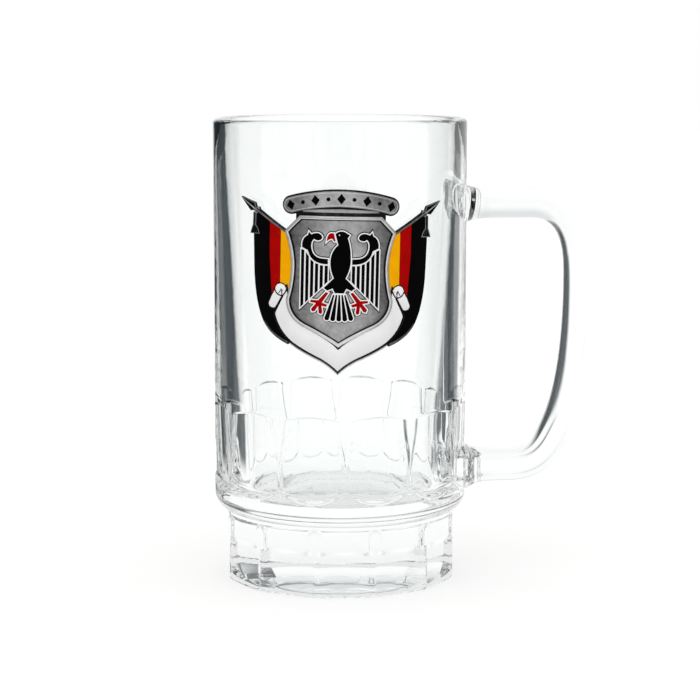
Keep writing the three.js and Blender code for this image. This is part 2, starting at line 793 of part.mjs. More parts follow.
// The outlines that make the badge's silhouette.
function badgeOutlines() {
  const rightSide = [
    grown(flagCloth(), CLOISON),
    bar(POLE_FOOT, POLE_HEAD, POLE_WIDTH),
    spearHead(0),
    grown(tassel(), TASSEL_RIM),
    grown(scrollCurl(), CLOISON),
  ];
  const neck = [point(-13.6, 18), point(13.6, 18), point(13.6, 22.4), point(-13.6, 22.4)];
  return [
    grown(shieldPanel(), FRAME_WIDTH),
    grown(scrollBand(), SCROLL_RIM),
    archPlate(0),
    neck,
    ...rightSide,
    ...rightSide.map(mirrored),
  ];
}

function badgePlate(cells) {
  const ground = joined(badgeOutlines().map((outline) => slab(outline, 0, PLATE_THICKNESS)));
  const frame = slab(grown(shieldPanel(), FRAME_WIDTH), PLATE_THICKNESS / 2, FRAME_TOP);
  const panel = slab(shieldPanel(), PANEL_FLOOR, FRAME_TOP + CUT_MARGIN);
  const poles = [bar(POLE_FOOT, POLE_HEAD, POLE_WIDTH), spearHead(0), tassel()];
  const bothPoles = poles.concat(poles.map(mirrored));
  const raised = bothPoles.map((outline) => slab(outline, PLATE_THICKNESS / 2, POLE_TOP));
  const rims = figureCells().map(([, , outline]) => grown(outline, FIGURE_RIM));
  const bird = rims.map((outline) => slab(outline, PANEL_FLOOR / 2, FIGURE_TOP));
  const plate = ground.add(frame).subtract(panel).add(joined(raised)).add(joined(bird));
  return cells.reduce((rest, [, , cell]) => rest.subtract(cell), plate);
}

// A film under most of the plate, kept inside its edge.
function adhesiveFilm() {
  const cloth = grown(flagCloth(), CLOISON - FILM_INSET);
  const outlines = [
    grown(shieldPanel(), FRAME_WIDTH - FILM_INSET),
    grown(scrollBand(), SCROLL_RIM - FILM_INSET),
    cloth,
    mirrored(cloth),
  ];
  return joined(outlines.map((outline) => slab(outline, -SEAT_GAP - FILM_THICKNESS, -SEAT_GAP)));
}

// Bending: flat x runs round the mug, flat y up it, and flat z away from it

// Where a flat point lies on the bent badge: on the straight facet between its two bend lines.
function bentPoint(p) {
  const share = p.x / (BEND_RADIUS * BEND_STEP);
  const line = Math.floor(share);
  const onLine = (number) => {
    const angle = BADGE_TURN + number * BEND_STEP;
    const radius = BEND_RADIUS + p.z;
    return new THREE.Vector3(radius * Math.sin(angle), -radius * Math.cos(angle), BADGE_HEIGHT + p.y);
  };
  return onLine(line).lerp(onLine(line + 1), share - line);
}

// The part of a convex polygon that lies between two upright lines.
function between(polygon, low, high) {
  const beside = (points, x, side) =>
    points.flatMap((from, i) => {
      const to = points[(i + 1) % points.length];
      const kept = side * (from.x - x) >= 0 ? [from] : [];
      if ((from.x - x) * (to.x - x) >= 0) return kept;
      const [left, right] = from.x < to.x ? [from, to] : [to, from];
      return kept.concat(left.clone().lerp(right, (x - left.x) / (right.x - left.x)));
    });
  return beside(beside(polygon, low, 1), high, -1);
}

// A flat solid laid round the mug: its faces are cut at the bend lines and its points moved.
function bent(solid) {
  const step = BEND_RADIUS * BEND_STEP;
  const flat = geometryOf(solid).rotateZ(BADGE_TILT).toNonIndexed().attributes.position;
  const corners = [];
  for (let i = 0; i < flat.count; i += 3) {
    const triangle = [0, 1, 2].map((k) => new THREE.Vector3().fromBufferAttribute(flat, i + k));
    const places = triangle.map((p) => p.x / step);
    for (let line = Math.floor(Math.min(...places)); line < Math.max(...places); line += 1) {
      const cell = between(triangle, line * step, (line + 1) * step);
      for (let k = 2; k < cell.length; k += 1) corners.push(cell[0], cell[k - 1], cell[k]);
    }
  }
  return new THREE.BufferGeometry().setFromPoints(corners.map(bentPoint));
}

// Materials and the assembly

const COLOURS = {
  glass: { color: 0xe9eef0, roughness: 0.05, metalness: 0, transparent: true, opacity: 0.35 },
  pewter: { color: 0x8a8b8c, roughness: 0.42, metalness: 1 },
  film: { color: 0xb9bbbc, roughness: 0.8, metalness: 0 },
  black: { color: 0x070708, roughness: 0.25, metalness: 0 },
  red: { color: 0xa80404, roughness: 0.25, metalness: 0 },
  gold: { color: 0xf2ac0c, roughness: 0.25, metalness: 0 },
  white: { color: 0xe8e9ec, roughness: 0.3, metalness: 0 },
};

function piece(name, geometry, colour) {
  const mesh = new THREE.Mesh(geometry, new THREE.MeshStandardMaterial(COLOURS[colour]));
  mesh.name = name;
  return mesh;
}

const mug = new THREE.Group();
mug.add(piece('mug_body', geometryOf(mugBody()), 'glass'));
mug.add(piece('mug_handle', geometryOf(mugHandle()), 'glass'));
const allCells = [...groundCells(), ...spearCells(), ...birdCells()];
mug.add(piece('badge_plate', bent(badgePlate(allCells)), 'pewter'));
mug.add(piece('badge_adhesive', bent(adhesiveFilm()), 'film'));
allCells.forEach(([name, colour, , fill]) => mug.add(piece(name, bent(fill), colour)));

// The origin is under the middle of the whole mug, handle included.
const middle = new THREE.Box3().setFromObject(mug).getCenter(new THREE.Vector3());
mug.position.set(-middle.x, -middle.y, 0);

export default mug;
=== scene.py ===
import math

import bmesh
import bpy
import numpy as np
from mathutils import Matrix, Vector


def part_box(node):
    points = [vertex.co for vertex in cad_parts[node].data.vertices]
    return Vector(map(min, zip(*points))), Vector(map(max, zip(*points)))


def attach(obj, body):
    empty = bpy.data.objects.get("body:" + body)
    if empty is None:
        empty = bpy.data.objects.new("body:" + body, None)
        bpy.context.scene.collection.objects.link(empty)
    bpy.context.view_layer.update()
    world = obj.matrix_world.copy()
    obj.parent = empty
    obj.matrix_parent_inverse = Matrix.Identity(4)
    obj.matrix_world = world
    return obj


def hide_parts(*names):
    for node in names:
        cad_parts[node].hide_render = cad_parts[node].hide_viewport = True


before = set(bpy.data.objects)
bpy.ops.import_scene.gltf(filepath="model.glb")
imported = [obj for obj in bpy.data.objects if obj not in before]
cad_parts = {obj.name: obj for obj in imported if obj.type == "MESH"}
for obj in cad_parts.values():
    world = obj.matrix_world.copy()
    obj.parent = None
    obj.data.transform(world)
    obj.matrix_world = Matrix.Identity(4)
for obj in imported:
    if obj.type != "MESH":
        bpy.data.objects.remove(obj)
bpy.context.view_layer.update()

# Glass body
# A heavy mug of clear pressed glass: a plain upper wall, a band of twelve shallow panels with arched tops
# and round bottoms, a rolled edge over a groove, and a thick solid foot with facets. It is smooth inside.
body_low, body_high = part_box("mug_body")
AXIS = (body_low + body_high) / 2
BODY_RADIUS = (body_high.x - body_low.x) / 2
MUG_HEIGHT = body_high.z
MM = 0.001
PANELS = 12
PANEL_PITCH = 2 * math.pi / PANELS

RIM_ROUND = 1.55 * MM
FLOOR_RADIUS = 31.5 * MM
FLOOR_HEIGHT = 27 * MM
FLOOR_CORNER = 6 * MM

PANEL_DEPTH_HIGH = 0.95 * MM
PANEL_DEPTH_LOW = 1.5 * MM
PANEL_DEEPEST = 36 * MM
PANEL_TOP = 57 * MM
PANEL_BOTTOM = 29.6 * MM
ARCH_DROP = 1.7 * MM
SAG_RISE = 2.8 * MM
LEDGE = 0.9 * MM
COVE = 1.8 * MM
RIDGE_SOFTNESS = 0.2 * MM
QUIRK_DEPTH = 0.45 * MM
QUIRK_WIDTH = 0.55 * MM

ROLL_RADIUS = 5.5 * MM
ROLL_HEIGHT = 27.3 * MM
GROOVE_HEIGHT = 21.6 * MM
GROOVE_DROP = 0.9 * MM
GROOVE_ROUND = 0.5 * MM
FOOT_RADIUS = 36.8 * MM
FOOT_EDGE = 1.3 * MM
FACET_TOP = 13.7 * MM
FACET_STEP = (-0.3 * MM, 0.5 * MM)
SCOOP_DEPTH = 1.0 * MM
SCOOP_FADE = 0.9 * MM
SCOOP_HOLLOW = 0.25
PILLAR_WIDTH = 3.0 * MM
PILLAR_TOP = 20.4 * MM
FACET_SOFTNESS = 0.35 * MM
RECESS_RADIUS = 28 * MM
RECESS_DEPTH = 2.6 * MM
NOTCHES = 84
NOTCH_DEPTH = 0.35 * MM
NOTCH_ENDS = (3 * MM, 2 * MM)
NOTCH_EDGE = (0.2, 0.9)

STEPS_ROUND = 20 * 24
BAND_STEPS = (5, 12, 26, 12, 8)
BESIDE_PILLAR = 1 * MM
OUTER_REACH = 6 * MM
LEAST_LAND = math.radians(0.4)
ARCH_FADE = 4 * MM
MERGED = 0.002 * MM


def smooth(low, high, value):
    share = np.clip((value - low) / (high - low), 0, 1)
    return share * share * (3 - 2 * share)


def soft_least(a, b, softness):
    overlap = np.maximum(softness - np.abs(a - b), 0) / softness
    return np.minimum(a, b) - overlap * overlap * softness / 4


def off_centre(angle, first):
    """The angle from the middle of the nearest panel, facet or scoop."""
    return (angle - first + PANEL_PITCH / 2) % PANEL_PITCH - PANEL_PITCH / 2


def crowded(angle, middle, edge, span, share):
    """Angles moved so that the same columns of points run along an edge and over the span beside it."""
    beside = off_centre(angle, middle)
    columns = np.array((0, 0.25, 0.6, 1)) * PANEL_PITCH / 2
    places = (0, edge, edge + span, PANEL_PITCH / 2)
    moved = np.sign(beside) * np.interp(np.abs(beside), columns, places)
    return angle + (moved - beside) * share


def panel_depth(height):
    deeper = PANEL_DEPTH_LOW - PANEL_DEPTH_HIGH
    return PANEL_DEPTH_HIGH + deeper * smooth(PANEL_TOP, PANEL_DEEPEST, height)


def land_edge(height):
    """How far a ridge's land reaches from its middle, as an angle; below, the panels meet in an edge."""
    return PANEL_PITCH / 2 - np.arccos(1 - panel_depth(height) / BODY_RADIUS)


def panelled(radius, height, angle):
    """The band's panels: flat, deeper towards their feet, so that the ridges between them taper to a point.
    Rings of points are lifted and lowered with the bottoms and the arches."""
    off = off_centre(angle, PANEL_PITCH / 2)
    side = off / (PANEL_PITCH / 2)
    flat = (BODY_RADIUS - panel_depth(height)) / np.cos(off)
    into_panel = BODY_RADIUS * (PANEL_PITCH / 2 - np.abs(off) - land_edge(height))
    flat = flat - QUIRK_DEPTH * np.exp(-(((into_panel - QUIRK_WIDTH) / QUIRK_WIDTH) ** 2))
    opened = smooth(0, LEDGE, PANEL_TOP - height) * smooth(0, COVE, height - PANEL_BOTTOM)
    cut = soft_least(radius, radius + (flat - radius) * opened, RIDGE_SOFTNESS * opened + 1e-9)
    middle = (PANEL_BOTTOM + PANEL_TOP) / 2
    lowered = smooth(middle, PANEL_TOP - LEDGE, height)
    lowered = lowered * (1 - smooth(PANEL_TOP, PANEL_TOP + ARCH_FADE, height))
    lifted = smooth(ROLL_HEIGHT, PANEL_BOTTOM, height) * (1 - smooth(PANEL_BOTTOM + COVE, middle, height))
    closed = np.where((height > PANEL_BOTTOM) & (height < PANEL_TOP), cut, radius)
    return closed, height + (SAG_RISE * lifted - ARCH_DROP * lowered) * side**2


def footed(radius, height, angle):
    """The foot: flat facets below, and over them shallow scoops with round-topped pillars between."""
    off = off_centre(angle, 0)
    facet = FOOT_RADIUS * math.cos(PANEL_PITCH / 2) / np.cos(off)
    beside = FOOT_RADIUS * (PANEL_PITCH / 2 - np.abs(off))
    over = np.maximum(height - (PILLAR_TOP - PILLAR_WIDTH / 2), 0)
    from_pillar = np.hypot(beside, over) - PILLAR_WIDTH / 2
    hollow = 1 - SCOOP_HOLLOW * (off / (PANEL_PITCH / 2)) ** 2
    scooped = radius - SCOOP_DEPTH * smooth(0, SCOOP_FADE, from_pillar) * hollow
    lower = soft_least(radius, facet, FACET_SOFTNESS)
    upper = soft_least(radius, scooped, FACET_SOFTNESS)
    share = smooth(FACET_TOP + FACET_STEP[0], FACET_TOP + FACET_STEP[1], height)
    inset = (lower + (upper - lower) * share) - radius
    return radius + inset * (1 - smooth(PILLAR_TOP, GROOVE_HEIGHT, height))


def arc(middle, radius, start, end, steps):
    """Points along a stretch of a circle, in degrees; a full circle leaves its last point out."""
    turns = np.radians(np.linspace(start, end, steps, endpoint=(end - start) % 360 != 0))
    return [(middle[0] + radius * math.cos(t), middle[1] + radius * math.sin(t)) for t in turns]


def straight(start, end, steps):
    return [tuple(p) for p in np.linspace(start, end, steps)[1:-1]]


def body_profile():
    """Radius and height from under the foot's middle, up the outside, over the rim and down to the floor."""
    ball = (RECESS_RADIUS**2 + RECESS_DEPTH**2) / (2 * RECESS_DEPTH)
    lean = math.degrees(math.asin(RECESS_RADIUS / ball))
    recess = arc((0, RECESS_DEPTH - ball), ball, 90, 90 - lean, 12)
    foot_edge = arc((FOOT_RADIUS - FOOT_EDGE, FOOT_EDGE), FOOT_EDGE, -90, 0, 6)
    ring = straight(recess[-1], foot_edge[0], 12)
    foot_top = (FOOT_RADIUS, GROOVE_HEIGHT - GROOVE_DROP)
    foot = straight(foot_edge[-1], foot_top, 38)
    groove = arc((FOOT_RADIUS - GROOVE_ROUND, foot_top[1]), GROOVE_ROUND, 0, 75, 4)
    roll = arc((BODY_RADIUS - ROLL_RADIUS, ROLL_HEIGHT), ROLL_RADIUS, -72, 0, 16)
    heights = [ROLL_HEIGHT, PANEL_BOTTOM, PANEL_BOTTOM + COVE]
    heights += [PANEL_TOP - LEDGE, PANEL_TOP, PANEL_TOP + ARCH_FADE]
    band = []
    for low, high, steps in zip(heights, heights[1:], BAND_STEPS):
        band += straight((BODY_RADIUS, low), (BODY_RADIUS, high), steps) + [(BODY_RADIUS, high)]
    wall = straight(band[-1], (BODY_RADIUS, MUG_HEIGHT - RIM_ROUND), 8)
    rim = arc((BODY_RADIUS - RIM_ROUND, MUG_HEIGHT - RIM_ROUND), RIM_ROUND, 0, 180, 13)
    corner = arc((FLOOR_RADIUS - FLOOR_CORNER, FLOOR_HEIGHT + FLOOR_CORNER), FLOOR_CORNER, 0, -90, 10)
    inside = straight(rim[-1], corner[0], 8)
    floor = straight(corner[-1], (0, FLOOR_HEIGHT), 6)
    outside = recess[1:] + ring + foot_edge + foot + groove + roll + band + wall
    return outside + rim + inside + corner + floor


def closed_mesh(points, faces, merged=0):
    """A mesh with its normals turned outwards, after points nearer than merged are joined."""
    mesh = bpy.data.meshes.new("skin")
    mesh.from_pydata(points, [], faces)
    shape = bmesh.new()
    shape.from_mesh(mesh)
    if merged:
        bmesh.ops.remove_doubles(shape, verts=shape.verts, dist=merged)
    bmesh.ops.recalc_face_normals(shape, faces=shape.faces)
    shape.to_mesh(mesh)
    shape.free()
    return mesh


def body_skin():
    """The profile turned about the mug's axis and closed at both ends, each ring shaped in turn."""
    profile = body_profile()
    even = np.arange(STEPS_ROUND) * 2 * math.pi / STEPS_ROUND
    points = [(0, 0, RECESS_DEPTH)]
    for ring in profile:
        radius, height, turns = body_shape(*(np.full(STEPS_ROUND, value) for value in ring), even)
        points += zip(radius * np.sin(turns), -radius * np.cos(turns), height)
    points.append((0, 0, FLOOR_HEIGHT))
    faces = []
    for k in range(STEPS_ROUND):
        after = (k + 1) % STEPS_ROUND
        faces.append((0, 1 + after, 1 + k))
        for ring in range(len(profile) - 1):
            low, high = 1 + ring * STEPS_ROUND, 1 + (ring + 1) * STEPS_ROUND
            faces.append((low + k, low + after, high + after, high + k))
        last = 1 + (len(profile) - 1) * STEPS_ROUND
        faces.append((last + k, last + after, len(points) - 1))
    return closed_mesh([(x + AXIS.x, y + AXIS.y, z) for x, y, z in points], faces, MERGED)


def along_pillars(angle, share):
    return crowded(angle, PANEL_PITCH / 2, PILLAR_WIDTH / 2 / FOOT_RADIUS, BESIDE_PILLAR / FOOT_RADIUS, share)


def body_shape(radius, height, angle):
    """A ring of the body, with the foot, the panels or the notches worked into it."""
    outside = radius[0] > BODY_RADIUS - OUTER_REACH and height[0] > 0
    if outside and height[0] < GROOVE_HEIGHT:
        fade = 1 - smooth(PILLAR_TOP - PILLAR_WIDTH / 2, GROOVE_HEIGHT, height)
        angle = along_pillars(angle, fade)
        radius = footed(radius, height, angle)
    elif outside and radius[0] > BODY_RADIUS - 0.01 * MM and height[0] <= PANEL_TOP + ARCH_FADE:
        fade = smooth(ROLL_HEIGHT, PANEL_BOTTOM, height)
        fade = fade * (1 - smooth(PANEL_TOP, PANEL_TOP + ARCH_FADE, height))
        edge = max(land_edge(height)[0], LEAST_LAND)
        angle = crowded(angle, 0, edge, 3 * QUIRK_WIDTH / BODY_RADIUS, fade)
        radius, height = panelled(radius, height, angle)
    if RECESS_RADIUS < radius[0] < FOOT_RADIUS and height[0] == 0:
        inward = smooth(RECESS_RADIUS, RECESS_RADIUS + NOTCH_ENDS[0], radius)
        inward = inward * smooth(FOOT_RADIUS, FOOT_RADIUS - NOTCH_ENDS[1], radius)
        height = height + NOTCH_DEPTH * inward * smooth(*NOTCH_EDGE, np.cos(angle * NOTCHES))
        angle = along_pillars(angle, smooth(RECESS_RADIUS, FOOT_RADIUS, radius))
        radius = np.minimum(radius, footed(radius + FOOT_EDGE, height, angle) - FOOT_EDGE)
    return radius, height, angle


# Handle
# A bar of the same glass, flat outside and round inside, set on the body while both are hot. It swells
# into a collar where it meets the wall, and the two are one piece of glass from then on.
handle_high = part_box("mug_handle")[1]
HANDLE_THICK = 9.4 * MM
HANDLE_WIDTH = 15 * MM
OUTER_CORNER = 2.6 * MM
INNER_CORNER = 7.4 * MM
GRIP_ROUND = HANDLE_THICK - OUTER_CORNER
HEEL_ROUND = 2.6 * MM
BAR_HIGH = 118.9 * MM
BAR_LOW = 35.2 * MM
HANDLE_SHORT = 0.7 * MM
REACH = handle_high.x - AXIS.x - HANDLE_THICK / 2 - HANDLE_SHORT
UPPER_COLLAR = (1.28, 1.6)
LOWER_COLLAR = (1.36, 1.7)
COLLAR_FADE = 2.8 * MM
UPPER_END = 37.8 * MM
LOWER_END = 35.6 * MM
NEAR_WALL = (-0.9, 0, 0.3, 0.6, 1, 1.4, 1.8, 2.3, 2.8, 3.4, 4.1, 5, 6.5, 8, 10, 13)
INNER_FADE = (BAR_LOW + 8 * MM, BAR_LOW + 36 * MM)
CORNER_STEPS = 13


def bezier(points, steps):
    share = np.linspace(0, 1, steps + 1)[:, None]
    a, b, c, d = (np.array(p) for p in points)
    rest = 1 - share
    return a * rest**3 + 3 * b * share * rest**2 + 3 * c * share**2 * rest + d * share**3


def handle_line():
    """The bar's middle line in the plane of the axis, from inside the upper wall to inside the lower."""

    def under_top(x, z):
        return REACH + x * MM, BAR_HIGH - z * MM

    def over_foot(x, z):
        return REACH + x * MM, BAR_LOW + z * MM

    shoulder, heel = under_top(0, 20.9), over_foot(-8.4, 8.3)
    upper = bezier([under_top(-15.4, 0), under_top(-5.4, 0), under_top(-0.2, 7), shoulder], 24)
    grip = bezier([shoulder, under_top(0.3, 36.9), over_foot(-0.9, 21.8), heel], 36)
    lower = bezier([heel, over_foot(-11.8, 2.2), over_foot(-16.4, 0), over_foot(-22.4, 0)], 16)
    near_wall = BODY_RADIUS + np.array(NEAR_WALL) * MM
    top = [(UPPER_END, BAR_HIGH)] + [(x, BAR_HIGH) for x in near_wall]
    bottom = [(x, BAR_LOW) for x in near_wall[::-1] if x < REACH - 23 * MM] + [(LOWER_END, BAR_LOW)]
    return np.vstack([top, upper, grip[1:], lower[1:], bottom])


def bar_section(inner_round):
    """Points round the bar: outward of the loop, then across it. The inner side is rounder."""
    half = HANDLE_THICK / 2, HANDLE_WIDTH / 2
    section = []
    for out, across, start in ((1, 1, 0), (-1, 1, 90), (-1, -1, 180), (1, -1, 270)):
        corner, reach = (OUTER_CORNER, OUTER_CORNER) if out > 0 else (INNER_CORNER, inner_round)
        middle = (out * (half[0] - reach), across * (half[1] - corner))
        for turn in np.radians(np.linspace(start, start + 90, CORNER_STEPS)):
            section.append((middle[0] + reach * math.cos(turn), middle[1] + corner * math.sin(turn)))
    return section


def handle_mesh():
    line = handle_line()
    ahead = np.gradient(line, axis=0)
    ahead /= np.linalg.norm(ahead, axis=1)[:, None]
    points = []
    for (x, z), (dx, dz) in zip(line, ahead):
        collar = UPPER_COLLAR if z > (BAR_HIGH + BAR_LOW) / 2 else LOWER_COLLAR
        fade = math.exp(-max(x - BODY_RADIUS, 0) / COLLAR_FADE) * (x < REACH - 20 * MM)
        swell = [1 + (wider - 1) * fade for wider in collar]
        inner_round = HEEL_ROUND + (GRIP_ROUND - HEEL_ROUND) * float(smooth(*INNER_FADE, z))
        section = np.array(bar_section(inner_round))
        for out, across in section * swell:
            points.append((AXIS.x + x - dz * out, AXIS.y + across, z + dx * out))
    count = len(section)
    faces = [tuple(range(count))[::-1], tuple(range(len(points) - count, len(points)))]
    for ring in range(len(line) - 1):
        for k in range(count):
            a, b = ring * count + k, ring * count + (k + 1) % count
            faces.append((a, b, b + count, a + count))
    return closed_mesh(points, faces, MERGED)


def added(name, mesh):
    piece = bpy.data.objects.new(name, mesh)
    bpy.context.scene.collection.objects.link(piece)
    return piece


def add_boolean(piece, operation, tool):
    step = piece.modifiers.new("step", "BOOLEAN")
    step.operation = operation
    step.solver = "MANIFOLD"
    step.object = tool


def finished(piece):
    """The piece's modifiers worked into a plain mesh."""
    graph = bpy.context.evaluated_depsgraph_get()
    mesh = bpy.data.meshes.new_from_object(piece.evaluated_get(graph))
    piece.modifiers.clear()
    piece.data = mesh
    return piece


mug_glass = added("mug_glass", body_skin())
handle = added("handle", handle_mesh())
add_boolean(mug_glass, "UNION", handle)
finished(mug_glass)
bpy.data.objects.remove(handle)
mug_glass.data.shade_smooth()
mug_glass.data.set_sharp_from_angle(angle=math.radians(38))

GLASS_COLOUR = (0.975, 0.992, 0.988, 1)
GLASS_IOR = 1.52
RIPPLE_STRENGTH = 0.05
RIPPLE_HEIGHT = 0.6 * MM
SMUDGE_ROUGHNESS = 0.02


class Value:
    """A socket that can be used in sums; any other node comes from make_node()."""

    def __init__(self, tree, socket):
        self.tree = tree
        self.socket = socket

    def maths(self, operation, *others):
        made = make_node(self.tree, "ShaderNodeMath", {"operation": operation})
        for slot, value in zip(made.inputs, (self, *others)):
            join(self.tree, slot, value)
        return Value(self.tree, made.outputs[0])

    def __add__(self, other):
        return self.maths("ADD", other)

    def __sub__(self, other):
        return self.maths("SUBTRACT", other)

    def __mul__(self, other):
        return self.maths("MULTIPLY", other)

    def __rsub__(self, other):
        return (self * -1) + other

    __radd__ = __add__
    __rmul__ = __mul__

    def highest(self, other):
        return self.maths("MAXIMUM", other)

    def lowest(self, other):
        return self.maths("MINIMUM", other)

    def between(self, low, high):
        """From 0 at low to 1 at high, smoothly."""
        made = make_node(
            self.tree, "ShaderNodeMapRange", {"interpolation_type": "SMOOTHSTEP"},
            Value=self, From_Min=low, From_Max=high,
        )
        return Value(self.tree, made.outputs[0])


def join(tree, slot, value):
    if isinstance(value, Value):
        tree.links.new(value.socket, slot)
    elif isinstance(value, bpy.types.NodeSocket):
        tree.links.new(value, slot)
    else:
        slot.default_value = value


def make_node(tree, kind, settings=None, **sockets):
    """A node with its settings set first, then its sockets, which are named with _ for a space."""
    made = tree.nodes.new(kind)
    for name, value in (settings or {}).items():
        setattr(made, name, value)
    for name, value in sockets.items():
        wanted = name.replace("_", " ")
        join(tree, next(s for s in made.inputs if s.name == wanted and s.enabled), value)
    return made


def bare_tree(owner):
    """The owner's own node tree, emptied."""
    owner.use_nodes = True
    owner.node_tree.nodes.clear()
    return owner.node_tree


def new_material(name):
    """A material with only its shader node, and the object's own coordinates."""
    material = bpy.data.materials.new(name)
    tree = bare_tree(material)
    shader = make_node(tree, "ShaderNodeBsdfPrincipled")
    make_node(tree, "ShaderNodeOutputMaterial", Surface=shader.outputs["BSDF"])
    return material, tree, shader, make_node(tree, "ShaderNodeTexCoord").outputs["Object"]


def noise(tree, place, scale, detail):
    made = make_node(tree, "ShaderNodeTexNoise", Vector=place, Scale=scale, Detail=detail)
    return Value(tree, made.outputs["Fac"])


def surfaced(tree, shader, colour, roughness, height, strength, distance):
    """The shader's colour, roughness and bump, whose distance is in metres."""
    join(tree, shader.inputs["Base Color"], colour)
    join(tree, shader.inputs["Roughness"], roughness)
    bump = make_node(tree, "ShaderNodeBump", Height=height, Strength=strength, Distance=distance)
    join(tree, shader.inputs["Normal"], bump.outputs["Normal"])


def clear_glass():
    """Hardly uneven, with faint smudges."""
    material, tree, shader, place = new_material("clear_pressed_glass")
    shader.inputs["Transmission Weight"].default_value = 1
    shader.inputs["IOR"].default_value = GLASS_IOR
    smudge = noise(tree, place, 38.0, 5.0).between(0.55, 0.8) * SMUDGE_ROUGHNESS
    ripple = noise(tree, place, 110.0, 2.0)
    surfaced(tree, shader, GLASS_COLOUR, smudge, ripple, RIPPLE_STRENGTH, RIPPLE_HEIGHT)
    return material


mug_glass.data.materials.clear()
mug_glass.data.materials.append(clear_glass())
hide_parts("mug_body", "mug_handle")
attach(mug_glass, "root")

# Badge metal
# A pewter-coloured casting bent to the mug: a backing plate, a raised shield frame, an arched plate with
# ornaments, spears with cords and tassels, and thin bright walls round the enamel. Hollows are antiqued.
BEND_RADIUS = 40.75
BADGE_HEIGHT = 98
BADGE_TURN = math.radians(-2.5)
BADGE_TILT = math.radians(-1.3)
BEND_STEP = 1.2
CURVE_STEPS = 7
MITRE_LIMIT = 0.35

BACK_FOOT = 0.05
BACK_TOP = 0.8
GROUND_TOP = 0.88
FIGURE_TOP = 1.4
RAISED_FOOT = 0.7
CELL_FLOOR = 1.0
CELL_WALL = 0.34
SHADOW_WIDTH = 0.26
POLE_FOOT = (16.6, 14.9)
POLE_HEAD = (27.2, 21.4)
SPEAR_TIP = (32.4, 24.5)
ARCH_RADIUS = 53.2
ARCH_HEIGHT = 25
ARCH_HALF_ANGLE = math.radians(16.2)
ARCH_HALF_WIDTH = 2.85
SHARP_ANGLE = math.radians(34)
# The dark end of the pewter, for its antiqued hollows and for the painted shade towards the badge's sides.
HOLLOW_AND_SHADE_PEWTER = (0.012, 0.012, 0.013, 1)
WORN_PEWTER = (0.82, 0.82, 0.83, 1)


def outline(start, *steps):
    """Points along lines (x, y) and curves (bend x, bend y, x, y), in millimetres from the badge's middle."""
    points = [start]
    for step in steps:
        (x0, y0), (x1, y1) = points[-1], step[-2:]
        if len(step) == 2:
            points.append(step)
            continue
        for t in np.linspace(0, 1, CURVE_STEPS + 1)[1:]:
            a, b, c = (1 - t) ** 2, 2 * t * (1 - t), t * t
            points.append((a * x0 + b * step[0] + c * x1, a * y0 + b * step[1] + c * y1))
    return points


def circle(middle, radius, steps):
    return arc(middle, radius, 0, 360, steps)


def mirrored(points):
    return [(-x, y) for x, y in points][::-1]


def both_sides(half):
    return half + [(-x, y) for x, y in half[::-1] if x > 1e-6]


def area_of(points):
    return sum(a[0] * b[1] - b[0] * a[1] for a, b in zip(points, points[1:] + points[:1])) / 2


def grown(points, distance):
    """The outline moved outwards by a distance, or inwards where it is negative."""
    way = 1 if area_of(points) > 0 else -1
    moved = []
    for before, here, after in zip(points[-1:] + points[:-1], points, points[1:] + points[:1]):
        into = (Vector(here) - Vector(before)).normalized()
        away = (Vector(after) - Vector(here)).normalized()
        side = Vector((into.y + away.y, -into.x - away.x)).normalized()
        turn = max(MITRE_LIMIT, side.dot(Vector((into.y, -into.x))))
        moved.append(tuple(Vector(here) + side * way * distance / turn))
    return moved


def stacked(rows, closed):
    """A closed mesh from outlines of as many points each, one above another; closed joins last to first."""
    count = len(rows[0][0])
    points = [(x, y, z) for row, z in rows for x, y in row]
    faces = []
    for low in range(len(rows) if closed else len(rows) - 1):
        high = (low + 1) % len(rows)
        for k in range(count):
            after = (k + 1) % count
            faces.append((low * count + k, low * count + after, high * count + after, high * count + k))
    if not closed:
        faces += [tuple(range(count))[::-1], tuple(range(len(points) - count, len(points)))]
    return closed_mesh(points, faces)


def slab(points, low, high):
    return stacked([(points, low), (points, high)], False)


def pad(points, low, high, edge=0.09):
    """A slab with a rounded upper edge."""
    rows = [(points, low), (points, high - edge), (grown(points, -0.3 * edge), high - 0.3 * edge)]
    return stacked(rows + [(grown(points, -edge), high)], False)


def moulding(points, profile):
    """A raised line along an outline; profile holds distances outwards and heights, once round."""
    return stacked([(grown(points, distance), height) for distance, height in profile], True)


def line_round(points, low, high, width):
    """A raised line with softened edges along the outside of an outline."""
    inner = [(0, low), (0.02, high - 0.08), (0.1, high)]
    return moulding(points, inner + [(width - 0.1, high), (width, high - 0.1), (width, low)])


def combined(operation, first, others):
    """A mesh joined with others, or cut by them."""
    base = added("base", first)
    tools = [added("tool", mesh) for mesh in others]
    for tool in tools:
        add_boolean(base, operation, tool)
    mesh = finished(base).data
    for used in tools + [base]:
        bpy.data.objects.remove(used)
    return mesh


